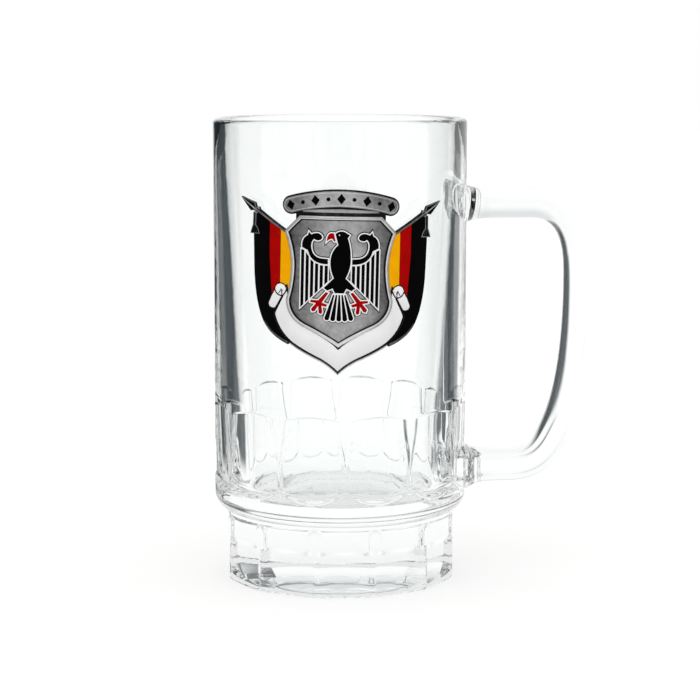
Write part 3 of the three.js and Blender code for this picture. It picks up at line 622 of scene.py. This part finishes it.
def bent(name, parts):
    """One piece from flat meshes: (mesh, low, high, dark, bright), brighter with height, bent round the mug."""
    whole = bmesh.new()
    tones = whole.verts.layers.float.new("tone")
    for mesh, low, high, dark, bright in parts:
        known = len(whole.verts)
        whole.from_mesh(mesh)
        whole.verts.ensure_lookup_table()
        for vertex in whole.verts[known:]:
            share = min(max((vertex.co.z - low) / (high - low), 0), 1)
            vertex[tones] = dark + (bright - dark) * share
    bmesh.ops.rotate(whole, verts=whole.verts, matrix=Matrix.Rotation(BADGE_TILT, 3, "Z"))
    for x in np.arange(-36, 36, BEND_STEP):
        everything = whole.verts[:] + whole.edges[:] + whole.faces[:]
        bmesh.ops.bisect_plane(whole, geom=everything, dist=1e-5, plane_co=(x, 0, 0), plane_no=(1, 0, 0))
    for vertex in whole.verts:
        turn = BADGE_TURN + vertex.co.x / BEND_RADIUS
        radius = (BEND_RADIUS + vertex.co.z) * MM
        height = (BADGE_HEIGHT + vertex.co.y) * MM
        vertex.co = (AXIS.x + radius * math.sin(turn), AXIS.y - radius * math.cos(turn), height)
    mesh = bpy.data.meshes.new(name)
    whole.to_mesh(mesh)
    whole.free()
    mesh.shade_smooth()
    mesh.set_sharp_from_angle(angle=SHARP_ANGLE)
    return added(name, mesh)


def mixed(tree, share, low, high):
    """A colour between two others."""
    return make_node(tree, "ShaderNodeMix", {"data_type": "RGBA"}, Factor=share, A=low, B=high).outputs["Result"]


def parts_of(tree, vector):
    """Its x, y and z."""
    made = make_node(tree, "ShaderNodeSeparateXYZ", Vector=vector)
    return [Value(tree, part) for part in made.outputs]


def antique_pewter():
    """Darker in its hollows by the tone kept on each point, and darker towards the badge's sides as painted shade.
    """
    material, tree, shader, place = new_material("antique_pewter")
    tone = Value(tree, make_node(tree, "ShaderNodeAttribute", {"attribute_name": "tone"}).outputs["Fac"])
    mottle = noise(tree, place, 900.0, 6.0)
    cloud = noise(tree, place, 170.0, 3.0)
    badge_middle = AXIS.x + BEND_RADIUS * MM * math.sin(BADGE_TURN)
    # Painted shade: the pewter is made darker towards the badge's left and right sides, by distance from its
    # middle.
    aside = (parts_of(tree, place)[0] - badge_middle).maths("ABSOLUTE").between(4 * MM, 14 * MM)
    wear_and_side_shade = tone + (mottle - 0.5) * 0.22 + (cloud - 0.5) * 0.3 - aside * 0.2
    colour = mixed(tree, wear_and_side_shade.between(0, 1.05), HOLLOW_AND_SHADE_PEWTER, WORN_PEWTER)
    shader.inputs["Metallic"].default_value = 1
    surfaced(tree, shader, colour, 0.56 - wear_and_side_shade.between(0, 1) * 0.24, mottle, 0.25, 0.00004)
    return material


def shield_panel():
    return both_sides(outline(
        (0, 18.8), (11.6, 18.8), (15.5, 14.8), (13.6, 10, 13.4, 5), (13.4, -0.5, 14.9, -5.5),
        (14.8, -10.2, 10.2, -12.6), (4.4, -15.2, 0, -18.2),
    )[:-1] + [(0, -18.2)])


def scroll_band():
    return both_sides(outline(
        (0, -27), (1.8, -25, 5.2, -23.1), (10.5, -20.7, 14, -18.4), (18.2, -15.2, 19.6, -10.3),
        (19.4, -9.4, 18.9, -8.5), (17.1, -4.9), (17.0, -3.2), (15.9, -1.9), (15.3, -4.2, 15.4, -5.6),
        (15.3, -10.7, 10.5, -13.4), (4.8, -16.0, 1.6, -18.5), (0.8, -19.1, 0, -20),
    ))


def scroll_roll():
    """The curl's round end and its rolled tail."""
    return outline(
        (15.9, -2.2), (16.5, -0.95, 17.9, -0.9), (19.2, -1.0, 19.5, -2.4), (19.9, -3.6, 20.6, -4.6), (21.6, -6.9),
        (21.7, -8.2, 20.4, -8.4), (19.5, -8.6, 19.0, -7.6), (17.3, -4.6), (16.2, -3.6, 15.9, -2.2),
    )[:-1]


def arch_plate(inset):
    middle = ARCH_HEIGHT - ARCH_RADIUS
    lean = math.degrees(ARCH_HALF_ANGLE)
    half = ARCH_HALF_WIDTH - inset
    outer, inner = (arc((0, middle), ARCH_RADIUS + way * half, 90 - lean, 90 + lean, 25) for way in (1, -1))
    aside, up = ARCH_RADIUS * math.sin(ARCH_HALF_ANGLE), middle + ARCH_RADIUS * math.cos(ARCH_HALF_ANGLE)
    left = arc((-aside, up), half, 90 + lean, 270 + lean, 13)
    right = arc((aside, up), half, 270 - lean, 450 - lean, 13)
    return outer + left[1:-1] + inner[::-1] + right[1:-1]


def bar(start, end, width):
    across = (Vector(end) - Vector(start)).normalized().orthogonal() * width / 2
    return [tuple(Vector(p) + across * side) for p, side in ((start, 1), (end, 1), (end, -1), (start, -1))]


def flag_cloth():
    return outline(
        (POLE_FOOT[0] - 3, POLE_FOOT[1] - 2), POLE_FOOT, (POLE_HEAD[0], POLE_HEAD[1] - 0.4), (27.4, 13), (27.1, 4),
        (26.8, -6.4, 23.6, -12.4), (21.2, -16.6, 15.4, -18.9), (12, -14),
    )[::-1]


def on_spear(*points):
    """Points on the spear's head, each by its way from the pole's end towards the tip, and to one side."""
    along = (Vector(SPEAR_TIP) - Vector(POLE_HEAD)).normalized()
    across = Vector((-along.y, along.x))
    return [tuple(Vector(POLE_HEAD) + along * ahead + across * aside) for ahead, aside in points]


def spear_head(inset):
    wide = 1.5 - inset
    return on_spear((-1.5 + inset, 0), (0.5, -wide), (6 - inset * 3, 0), (0.5, wide))


def tassel():
    return outline(
        (26.6, 19.9), (26.7, 16.2), (25.6, 15, 25.4, 13.7), (28.5, 13.7), (28.2, 15, 27.6, 16.2), (27.5, 19.9)
    )


def bird_body():
    return outline(
        (2.7, 14.3), (2.1, 13.4), (3.1, 10.6, 3.1, 7), (3.1, 3.9, 1.7, 1.4), (4.6, -1.6), (3.5, -2.4), (2, -1.7),
        (1.3, -3.1), (-1.3, -3.1), (-2, -1.7), (-3.5, -2.4), (-4.6, -1.6), (-1.7, 1.4), (-2.9, 3.7, -2.8, 6.6),
        (-2.6, 9.6, -0.6, 11.3), (-0.9, 12.4), (-1.5, 14.6), (-0.5, 15.7, 1.1, 15.3),
    )


def bird_beak():
    return outline((-1.95, 14.8), (-3.9, 15.3, -4, 12.3), (-3.1, 13.3, -2.3, 13.1), (-1.9, 12.4), (-1.4, 12.4))


def wing_arm():
    return outline(
        (3.5, 5.5), (7.6, 5.4, 9, 8.2), (9.5, 9.6), (11.2, 10.4), (11.4, 13.2, 9.5, 14.1), (9.2, 15.1),
        (8.5, 14.3), (6.6, 15.3, 5.6, 14.2), (4.8, 13.3, 5.9, 12.7), (7, 12.3, 7.6, 13),
        (8.7, 12.2, 8.4, 10.2), (7.9, 7.5, 5.3, 7.2), (3.5, 7.1),
    )


def tail_feather(root, tip, root_width, tip_width):
    """A bar that widens to a round tip."""
    along = (Vector(tip) - Vector(root)).normalized()
    heading = math.degrees(math.atan2(along.y, along.x))
    across = Vector((-along.y, along.x)) * root_width / 2
    end = Vector(tip) - along * tip_width / 2
    foot = [tuple(Vector(root) + across), tuple(Vector(root) - across)]
    return foot + arc(end, tip_width / 2, heading - 90, heading + 90, 9)


def claw():
    return [
        (3.15, -3.1), (3.95, -2.8), (6.15, -5.35), (8.3, -5.25), (8.5, -5.95), (6.75, -6.25), (8.2, -8),
        (7.9, -8.8), (7.1, -8.7), (6.1, -7.1), (5.9, -9.2), (5.2, -9.5), (4.8, -8.9), (5.1, -7), (3.8, -7.3),
        (3.4, -6.6), (5, -6),
    ][::-1]


FEATHER_TOPS = ((5.1, 5.1), (5.15, 5.2), (5.5, 5.8), (6.1, 6.9), (7.7, 9), (9.55, 9.85))
FEATHER_START = 3.475
FEATHER_WIDTH = 0.95
FEATHER_PITCH = 1.4
FEATHER_SLANT = 3.75
TAIL_FEATHERS = 5
TAIL_SPREAD = math.radians(30)
TAIL_LENGTH = 8
TAIL_ROOT = -3.6
TAIL_PITCH = 0.8

figure = {"bird_body": bird_body(), "bird_beak": bird_beak()}
right_cells = {"bird_wing_right": wing_arm(), "bird_claw_right": claw()}
for i, (inner_top, outer_top) in enumerate(FEATHER_TOPS):
    inner = FEATHER_START + FEATHER_PITCH * i
    outer = inner + FEATHER_WIDTH
    feet = [(inner, FEATHER_SLANT - inner), (outer, FEATHER_SLANT - outer)]
    right_cells[f"wing_feather_right_{i + 1}"] = feet + [(outer, outer_top), (inner, inner_top)]
for name, points in right_cells.items():
    figure[name] = points
    figure[name.replace("right", "left")] = mirrored(points)
for i in range(TAIL_FEATHERS):
    lean = (i / (TAIL_FEATHERS - 1) - 0.5) * TAIL_SPREAD
    root = (TAIL_PITCH * (i - (TAIL_FEATHERS - 1) / 2), TAIL_ROOT)
    tip = (root[0] + TAIL_LENGTH * math.sin(lean), root[1] - TAIL_LENGTH * math.cos(lean))
    figure[f"tail_feather_{i + 1}"] = tail_feather(root, tip, 0.46, 1.4)

ORNAMENTS = 9
LOZENGE = [(1.25, 0), (0, 1.6), (-1.25, 0), (0, -1.6)]
DOT = circle((0, 0), 0.6, 16)


def ornament_tree():
    """Nodes that set lozenges and dots by turns along the arched plate: all of them where Only is -1."""
    tree = bpy.data.node_groups.new("ornament_row", "GeometryNodeTree")
    kinds = {
        "Lozenge": "Object", "Dot": "Object", "Material": "Material", "Count": "Int", "Only": "Int",
        "Arch Radius": "Float", "Arch Height": "Float", "Half Angle": "Float",
    }
    for name, kind in kinds.items():
        tree.interface.new_socket(name, in_out="INPUT", socket_type="NodeSocket" + kind)
    tree.interface.new_socket("Geometry", in_out="OUTPUT", socket_type="NodeSocketGeometry")
    group = make_node(tree, "NodeGroupInput")
    given = {name: Value(tree, group.outputs[name]) for name in kinds}
    place = Value(tree, make_node(tree, "GeometryNodeInputIndex").outputs["Index"])
    lean = given["Half Angle"] * (1 - (place * 2).maths("DIVIDE", given["Count"] - 1))
    across = lean.maths("SINE") * given["Arch Radius"] * -1
    up = (lean.maths("COSINE") - 1) * given["Arch Radius"] + given["Arch Height"]
    middle = make_node(tree, "ShaderNodeCombineXYZ", X=across, Y=up)
    points = make_node(tree, "GeometryNodePoints", Count=given["Count"], Position=middle.outputs["Vector"])
    turned = make_node(tree, "ShaderNodeCombineXYZ", Z=lean)
    turned = make_node(tree, "FunctionNodeEulerToRotation", Euler=turned.outputs["Vector"])
    wanted = given["Only"].maths("LESS_THAN", 0).highest(given["Only"].maths("COMPARE", place, 0.5))
    odd = place.maths("MODULO", 2)
    row = make_node(tree, "GeometryNodeJoinGeometry")
    for shape, chosen in (("Lozenge", 1 - odd), ("Dot", odd)):
        template = make_node(tree, "GeometryNodeObjectInfo", Object=given[shape])
        placed = make_node(
            tree, "GeometryNodeInstanceOnPoints", Points=points.outputs[0], Selection=wanted * chosen,
            Instance=template.outputs["Geometry"], Rotation=turned.outputs["Rotation"],
        )
        tree.links.new(placed.outputs["Instances"], row.inputs["Geometry"])
    real = make_node(tree, "GeometryNodeRealizeInstances", Geometry=row.outputs["Geometry"]).outputs["Geometry"]
    dressed = make_node(tree, "GeometryNodeSetMaterial", Geometry=real, Material=given["Material"])
    make_node(tree, "NodeGroupOutput", Geometry=dressed.outputs["Geometry"])
    return tree


ornament_row = ornament_tree()


def ornament_mesh(lozenge, dot, only=-1, material=None):
    """The row's mesh, or one ornament's, from flat meshes of a lozenge and a dot at the middle."""
    shapes = [added("shape", mesh) for mesh in (lozenge, dot)]
    holder = added("row", bpy.data.meshes.new("row"))
    nodes = holder.modifiers.new("row", "NODES")
    nodes.node_group = ornament_row
    values = {
        "Lozenge": shapes[0], "Dot": shapes[1], "Material": material, "Count": ORNAMENTS, "Only": only,
        "Arch Radius": float(ARCH_RADIUS), "Arch Height": float(ARCH_HEIGHT), "Half Angle": ARCH_HALF_ANGLE,
    }
    for socket in ornament_row.interface.items_tree:
        if socket.in_out == "INPUT" and values[socket.name] is not None:
            nodes[socket.identifier] = values[socket.name]
    mesh = finished(holder).data
    for used in (holder, *shapes):
        bpy.data.objects.remove(used)
    return mesh


def backing():
    """The plate behind everything, one solid."""
    right = [grown(flag_cloth(), 0.3), bar(POLE_FOOT, POLE_HEAD, 0.9)]
    right += [grown(scroll_roll(), 0.34), grown(tassel(), 0.15)]
    neck = [(-13.4, 17), (13.4, 17), (13.4, 22.2), (-13.4, 22.2)]
    shapes = [grown(shield_panel(), 1.1), grown(scroll_band(), 0.5), arch_plate(0), neck]
    shapes += right + [mirrored(points) for points in right]
    solids = [slab(points, BACK_FOOT, BACK_TOP) for points in shapes]
    return combined("UNION", solids[0], solids[1:])


def figure_solid(margin, low, high):
    solids = [slab(grown(points, margin), low, high) for points in figure.values()]
    return combined("UNION", solids[0], solids[1:])


def figure_walls():
    """The raised bird: bright walls round its cells, cut in one solid."""
    cells = [slab(points, CELL_FLOOR, 2) for points in figure.values()]
    return combined("DIFFERENCE", figure_solid(CELL_WALL, BACK_TOP, FIGURE_TOP), cells)


def arch_walls():
    plate = pad(arch_plate(0.5), BACK_TOP - 0.1, 1.42, 0.12)
    return combined("DIFFERENCE", plate, [ornament_mesh(slab(LOZENGE, CELL_FLOOR, 2), slab(DOT, CELL_FLOOR, 2))])


def spear_metal():
    head = pad(spear_head(0), RAISED_FOOT, 1.62, 0.1)
    ridge = pad(on_spear((-1.3, 0), (0, -0.11), (5.6, 0), (0, 0.11)), 1.5, 1.78, 0.05)
    barbs = [on_spear((-2.1, side * 0.5), (-1.4, side * 1.25), (-0.7, side * 0.6))[::side] for side in (1, -1)]
    pole = pad(bar(POLE_FOOT, POLE_HEAD, 0.62), RAISED_FOOT, 1.5, 0.2)
    parts = [(head, 0.8, 1.6, 0, 0.55), (ridge, 1.5, 1.75, 0.6, 1.1), (pole, 0.8, 1.5, 0, 0.5)]
    return parts + [(pad(barb, RAISED_FOOT, 1.5, 0.08), 0.8, 1.5, 0, 0.6) for barb in barbs]


def tassel_metal():
    """Its rim, a dark ground, and on it the cord, the knot and three strands that spread downwards."""
    rim = [(-0.12, RAISED_FOOT), (-0.12, 1.3), (0, 1.42), (0.13, 1.3), (0.13, RAISED_FOOT)]
    dark = slab(grown(tassel(), -0.05), RAISED_FOOT, 1.02)
    strands = [bar((27.05 + aside, 16.0), (27.05 + aside * 3.1, 13.9), 0.22) for aside in (-0.3, 0, 0.3)]
    parts = [pad(strand, 0.9, 1.4, 0.08) for strand in strands]
    parts += [pad(circle((27.1, 16.2), 0.42, 12), 0.9, 1.5, 0.15)]
    parts += [pad(bar((27.05, 19.9), (27.1, 16.4), 0.24), 0.9, 1.42, 0.08)]
    raised = [(moulding(tassel(), rim), 0.8, 1.4, 0, 0.6), (dark, 0, 1, 0, 0)]
    return raised + [(part, 0.9, 1.4, 0, 0.28) for part in parts]


def cloth_edge():
    """The bright edge along the cloth's lower corner."""
    crescent = outline((23.4, -12.6), (21.0, -16.9, 15.2, -18.9), (15.0, -18.3), (20.4, -16.3, 23.0, -12.5))
    return [(pad(crescent[::-1], 0.8, 1.3, 0.1), 0.8, 1.3, 0, 0.4)]


def roll_lines():
    """The dark lines that draw the roll's open end and part its round from its tail."""
    opening = ((18.35, -3.9), (17.5, -2.65), (17.2, -4.2))
    parting = outline((17.2, -4.6), (18.5, -4.5, 19.1, -3.7), (19.4, -3.3, 19.75, -2.5))
    lines = [pad(bar(a, b, 0.26), 1.0, 1.34, 0.05) for a, b in zip(opening, opening[1:])]
    lines += [pad(bar(a, b, 0.42), 1.0, 1.34, 0.05) for a, b in zip(parting, parting[1:])]
    lines.append(pad(circle(opening[1], 0.24, 12), 1.0, 1.345, 0.05))
    return [(part, 0, 1, 0.02, 0.02) for part in lines]


def scroll_lip():
    """The wider bright lip under the scroll's point."""
    lip = both_sides(outline(
        (0, -27.95), (1.9, -25.9, 5.4, -23.95), (10.8, -21.5, 14.8, -18.9), (14.4, -18.5),
        (10.5, -20.9, 5.1, -23.4), (1.8, -25.3, 0, -27.2),
    ))
    return [(pad(lip, 0.6, 1.24, 0.2), 0.6, 1.2, 0.1, 0.7)]


FRAME_PROFILE = [
    (0, RAISED_FOOT), (0.03, 1.5), (0.14, 1.64), (0.3, 1.64), (0.42, 1.5), (0.5, 1.38), (1.0, 1.3), (1.1, 1.15),
    (1.1, RAISED_FOOT),
]
ARCH_PROFILE = [(-0.1, 1.2), (-0.08, 1.45), (0, 1.5), (0.08, 1.45), (0.1, 1.2)]
SILL = [(-11.2, 20.9), (11.2, 20.9), (11.2, 21.6), (0, 22.0), (-11.2, 21.6)]
BIRD_EYE = circle((-0.35, 14.3), 0.2, 10)


def turned_over(mesh):
    """A right-hand mesh made into a left-hand one."""
    other = mesh.copy()
    other.transform(Matrix.Diagonal((-1, 1, 1, 1)))
    other.flip_normals()
    return other


sides = spear_metal() + tassel_metal() + cloth_edge() + roll_lines()
sides.append((line_round(scroll_roll(), RAISED_FOOT, 1.36, 0.3), 0.8, 1.3, 0, 0.1))
metal_parts = [
    (backing(), 0, BACK_TOP, 0.3, 0.08),
    (pad(grown(shield_panel(), -0.3), BACK_TOP - 0.1, GROUND_TOP, 0.05), BACK_TOP, GROUND_TOP, 0.1, 0.5),
    (moulding(shield_panel(), FRAME_PROFILE), 0.8, 1.6, -0.1, 1.1),
    (line_round(scroll_band(), RAISED_FOOT, 1.3, 0.45), 0.8, 1.3, 0, 0.16),
    # Painted shadow: a dark flat pad a little wider than the raised bird, round its foot.
    (figure_solid(CELL_WALL + SHADOW_WIDTH, BACK_TOP - 0.1, GROUND_TOP + 0.02), 0, 1, 0, 0),
    (figure_walls(), 0.9, FIGURE_TOP, 0, 1.15),
    (pad(BIRD_EYE, 1.2, 1.42, 0.05), 0, 1, 0.9, 0.9),
    (arch_walls(), 0.9, 1.4, 0.05, 0.5),
    (moulding(arch_plate(0.95), ARCH_PROFILE), 1.3, 1.5, 0.4, 0.9),
    (pad(SILL, RAISED_FOOT, 1.1, 0.06), 0.8, 1.1, 0.1, 0.5),
    *sides,
    *scroll_lip(),
    *((turned_over(mesh), *tones) for mesh, *tones in sides),
]
badge_metal = bent("badge_metal", metal_parts)
badge_metal.data.materials.append(antique_pewter())
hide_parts("badge_plate")
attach(badge_metal, "root")

# Badge tape
# A thin double-sided foam film, cut a little smaller than the badge, that holds it to the glass.
# It isn't seen from the front, and its shape is the solid's own.


def foam_film():
    material, tree, shader, place = new_material("foam_film")
    cells = make_node(tree, "ShaderNodeTexVoronoi", Vector=place, Scale=2600.0)
    cloud = noise(tree, place, 240.0, 3.0)
    colour = mixed(tree, cloud, (0.78, 0.78, 0.77, 1), (0.9, 0.9, 0.89, 1))
    surfaced(tree, shader, colour, cloud * 0.15 + 0.6, cells.outputs["Distance"], 0.4, 0.00008)
    return material


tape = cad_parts["badge_adhesive"]
tape.data.materials.clear()
tape.data.materials.append(foam_film())

# Badge enamel
# Coloured enamel poured into the casting's cells and hardened there, level with the walls or just under
# them, glossy and even. Each fill is a piece of its own.
ENAMEL_FOOT = BACK_TOP + 0.01
ENAMEL_TOP = 1.2
CELL_FOOT = CELL_FLOOR + 0.01
FILL_GAP = 0.02
RIBBON_GAP = 0.2
STRIPE_EDGES = (12, 18, 21.7, 30)
STRIPE_BEND = (1, 8)
STRIPE_ENDS = (-30, -5, 30)


def enamel(name, colour, deep, roughness):
    material, tree, shader, place = new_material(name)
    cloud = noise(tree, place, 260.0, 3.0)
    speck = noise(tree, place, 1500.0, 2.0).between(0.3, 0.8) * 0.12 + roughness
    surfaced(tree, shader, mixed(tree, cloud.between(0.3, 0.75), deep, colour), speck, cloud, 0.12, 0.00006)
    shader.inputs["Specular IOR Level"].default_value = 0.02
    return material


ENAMELS = {
    "black": enamel("black_enamel", (0.0012, 0.0012, 0.0015, 1), (0.0007, 0.0007, 0.001, 1), 0.2),
    "red": enamel("red_enamel", (0.44, 0.0015, 0.0015, 1), (0.37, 0.001, 0.001, 1), 0.2),
    "gold": enamel("gold_enamel", (0.98, 0.46, 0.002, 1), (0.92, 0.4, 0.001, 1), 0.2),
    "white": enamel("white_enamel", (0.93, 0.935, 0.945, 1), (0.9, 0.905, 0.92, 1), 0.25),
}


def fill(node, meshes, colour):
    """One enamel piece in the place of one node."""
    piece = bent(node + "_enamel", [(mesh, 0, 1, 1, 1) for mesh in meshes])
    piece.data.materials.append(ENAMELS[colour])
    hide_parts(node)
    "enamel_" + colour
    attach(piece, "root")


def stripe_border(x, lean):
    """Upright, and where it leans, bent inwards towards its foot."""
    return [(x, STRIPE_ENDS[2]), (x, STRIPE_BEND[1]), (x - lean, STRIPE_ENDS[1])]


def stripe_band(index, margin):
    """The band a stripe runs in; under the curl the outermost one takes the whole width."""
    inner = stripe_border(STRIPE_EDGES[index] + margin, STRIPE_BEND[0] * (index == 2))
    if index < 2:
        return inner + stripe_border(STRIPE_EDGES[index + 1] - margin, STRIPE_BEND[0] * (index == 1))[::-1]
    bottom, lower, top = STRIPE_ENDS
    first, last = STRIPE_EDGES[0], STRIPE_EDGES[3]
    return inner + [(first, lower), (first, bottom), (last, bottom), (last, top)]


def largest(mesh):
    """The mesh without its smaller loose bits."""
    shape = bmesh.new()
    shape.from_mesh(mesh)
    left, islands = set(shape.verts), []
    while left:
        front = [left.pop()]
        island = set(front)
        while front:
            here = front.pop()
            near = {edge.other_vert(here) for edge in here.link_edges} & left
            left -= near
            island |= near
            front += near
        islands.append(island)
    kept = max(islands, key=lambda island: sum(face.calc_area() for v in island for face in v.link_faces))
    bmesh.ops.delete(shape, geom=[v for v in shape.verts if v not in kept], context="VERTS")
    shape.to_mesh(mesh)
    shape.free()
    return mesh


def stripe(index):
    """What one stripe of the right-hand flag covers, kept clear of all that borders it."""
    low, high = ENAMEL_FOOT, ENAMEL_TOP
    borders = [grown(shield_panel(), 1.12), grown(scroll_band(), 0.52), grown(scroll_roll(), 0.32)]
    borders += [grown(tassel(), 0.15), bar(POLE_FOOT, POLE_HEAD, 0.66), grown(spear_head(0), 0.02)]
    cloth = slab(grown(flag_cloth(), -0.02), low, high)
    kept = combined("INTERSECT", cloth, [slab(stripe_band(index, 0.09), low - 1, high + 1)])
    return largest(combined("DIFFERENCE", kept, [slab(points, low - 1, high + 1) for points in borders]))


for index, colour in enumerate(("gold", "red", "black")):
    right_stripe = stripe(index)
    fill(f"flag_{colour}_right", [right_stripe], colour)
    fill(f"flag_{colour}_left", [turned_over(right_stripe)], colour)
for name, points in figure.items():
    cell = pad(grown(points, -FILL_GAP), CELL_FOOT, FIGURE_TOP - 0.05)
    fill(name, [cell], "red" if "beak" in name or "claw" in name else "black")
for i in range(ORNAMENTS):
    shapes = [pad(grown(points, -FILL_GAP), CELL_FOOT, 1.38) for points in (LOZENGE, DOT)]
    mesh = ornament_mesh(*shapes, only=i, material=ENAMELS["black"])
    fill(f"plate_{'dot' if i % 2 else 'lozenge'}_{i // 2 + 1}", [mesh], "black")

roll = pad(grown(scroll_roll(), -FILL_GAP), ENAMEL_FOOT, 1.3, 0.16)
blades = []
for side in (1, -1):
    blade = on_spear((-0.85, side * 0.24), (0.5, side * 1.26), (5.0, side * 0.2))
    blades.append(pad(blade if area_of(blade) > 0 else blade[::-1], 1.55, 1.68, 0.06))
fill("scroll_curl_right", [roll], "white")
fill("spear_fill_right", blades, "black")
fill("scroll_curl_left", [turned_over(roll)], "white")
fill("spear_fill_left", [turned_over(blade) for blade in blades], "black")
ribbon = combined(
    "DIFFERENCE",
    pad(grown(scroll_band(), -RIBBON_GAP), ENAMEL_FOOT, ENAMEL_TOP),
    [slab(grown(points, 0.32), 0, 2) for points in (scroll_roll(), mirrored(scroll_roll()))],
)
fill("scroll_ribbon", [ribbon], "white")

# Studio
# A pale table under a white surround. Rays that have met the glass see both white only in broad bands,
# with a dim room between, which is what draws the dark edges of the glass.
CAMERA_DISTANCE = 0.695
CAMERA_HEIGHT = 0.166
CAMERA_TURN = math.radians(-2.3)
CAMERA_PITCH = math.radians(7.69)
CAMERA_YAW = math.radians(0.26)
CAMERA_LENS = 113.1
WHITE_SHEET = (-18, 31)
OPEN_LEFT = (-100, 0)
OPEN_RIGHT = (0, 38)
SHEEN_RIGHT = (0, 100)
SIDE_BANDS = ((-110, -70), (115, 155), (160, 200), (-200, -160))
BAND_EDGE = 4
WHITE = (1, 1, 1, 1)
ROOM_COLOUR = (0.07, 0.083, 0.09, 1)
SIDE_LIGHT = (0.86, 0.865, 0.875, 1)
TOP_LIGHT = (1.05, 1.04, 1.02, 1)
FRONT_LIGHT = (1.36, 1.35, 1.34, 1)
HIGH_SHEET = (0.72, 0.74, 0.745, 1)
TABLE_RADIUS = 4
TABLE_GREY = (0.34, 0.34, 0.34, 1)
TABLE_GLOW = 0.66
STEEP_REACH = (0.11, 0.17)


def within(turn, low, high):
    above = turn.between(low - BAND_EDGE, low + BAND_EDGE)
    return above * (1 - turn.between(high - BAND_EDGE, high + BAND_EDGE))


def bright_bands(tree, direction, reflected, turned_back, steep):
    """1 where a direction points at something white, by its turn from straight behind the mug."""
    x, y = parts_of(tree, direction)[:2]
    turn = x.maths("ARCTAN2", y) * math.degrees(1)
    bright = within(turn, *WHITE_SHEET).highest(within(turn, *OPEN_RIGHT) * (1 - turned_back))
    bright = bright.highest(within(turn, *OPEN_LEFT) * (1 - turned_back) * (1 - reflected))
    bright = bright.highest(within(turn, *SHEEN_RIGHT) * reflected)
    for low, high in SIDE_BANDS:
        bright = bright.highest(within(turn, low, high))
    return bright.highest(steep)


def path_facts(tree):
    """Whether a ray comes straight from the camera, has only been reflected, has been reflected or
    passed through glass, or was turned back inside it."""
    path = make_node(tree, "ShaderNodeLightPath").outputs
    names = ("Is Camera Ray", "Is Transmission Ray", "Is Glossy Ray", "Glossy Depth")
    straight_view, through, glossy, depth = (Value(tree, path[name]) for name in names)
    reflected = glossy * (1 - through)
    return straight_view, reflected, (through + reflected).lowest(1), depth.lowest(1) * through


scene = bpy.context.scene
scene.world = bpy.data.worlds.new("studio")
sky = bare_tree(scene.world)
direction = make_node(sky, "ShaderNodeTexCoord").outputs["Generated"]
straight_view, reflected, seen = path_facts(sky)[:3]
ahead, up = parts_of(sky, direction)[1:]
in_front = 1 - ahead.between(-0.25, 0.05)
soft_light = mixed(sky, up.between(-0.2, 0.9), SIDE_LIGHT, TOP_LIGHT)
soft_light = mixed(sky, in_front, soft_light, FRONT_LIGHT)
bands = bright_bands(sky, direction, reflected, 0, 1 - up.between(-0.45, -0.3))
room = mixed(sky, bands, ROOM_COLOUR, mixed(sky, up.between(0.22, 0.6), WHITE, HIGH_SHEET))
room = mixed(sky, in_front, room, ahead * -0.45 + 0.5)
shown = mixed(sky, straight_view, mixed(sky, seen, soft_light, room), WHITE)
backdrop = make_node(sky, "ShaderNodeBackground", Color=shown, Strength=1.0)
make_node(sky, "ShaderNodeOutputWorld", Surface=backdrop.outputs["Background"])


def pale_table():
    """A grey table with a glow, seen as the dim room between the white bands by light from the glass."""
    material = bpy.data.materials.new("pale_table")
    tree = bare_tree(material)
    straight_view, reflected, seen, turned_back = path_facts(tree)
    place = make_node(tree, "ShaderNodeTexCoord").outputs["Object"]
    moved = make_node(tree, "ShaderNodeVectorMath", {"operation": "SUBTRACT"}, Vector=place)
    join(tree, moved.inputs[1], (AXIS.x, AXIS.y, 0))
    from_axis = moved.outputs[0]
    far = make_node(tree, "ShaderNodeVectorMath", {"operation": "LENGTH"}, Vector=from_axis)
    steep = 1 - Value(tree, far.outputs["Value"]).between(*STEEP_REACH)
    in_front = 1 - parts_of(tree, from_axis)[1].between(-0.05, 0.05)
    bands = bright_bands(tree, from_axis, reflected, turned_back, steep).highest(in_front)
    glow = (straight_view + seen).lowest(1) * TABLE_GLOW
    both = make_node(tree, "ShaderNodeAddShader")
    mix = make_node(tree, "ShaderNodeMixShader", Fac=bands * seen + (1 - seen))
    for slot, kind, values in (
        (both.inputs[0], "ShaderNodeBsdfDiffuse", {"Color": TABLE_GREY}),
        (both.inputs[1], "ShaderNodeEmission", {"Color": WHITE, "Strength": glow}),
        (mix.inputs[1], "ShaderNodeEmission", {"Color": ROOM_COLOUR, "Strength": 1.0}),
    ):
        join(tree, slot, make_node(tree, kind, **values).outputs[0])
    join(tree, mix.inputs[2], both.outputs[0])
    make_node(tree, "ShaderNodeOutputMaterial", Surface=mix.outputs[0])
    return material


floor_mesh = bpy.data.meshes.new("floor")
edge = circle((0, 0), TABLE_RADIUS, 64)
floor_mesh.from_pydata([(x, y, 0) for x, y in edge], [], [tuple(range(len(edge)))])
floor = added("floor", floor_mesh)
floor.data.materials.append(pale_table())

camera_data = bpy.data.cameras.new("camera")
camera_data.lens = CAMERA_LENS
camera_data.sensor_width = 36
camera_data.clip_end = 20
camera = added("camera", camera_data)
camera.location = (
    AXIS.x + CAMERA_DISTANCE * math.sin(CAMERA_TURN),
    AXIS.y - CAMERA_DISTANCE * math.cos(CAMERA_TURN),
    CAMERA_HEIGHT,
)
camera.rotation_euler = (math.pi / 2 - CAMERA_PITCH, 0, CAMERA_TURN - CAMERA_YAW)
scene.camera = camera
scene.view_settings.view_transform = "Standard"
scene.cycles.max_bounces = scene.cycles.transmission_bounces = 24
scene.cycles.glossy_bounces = 12
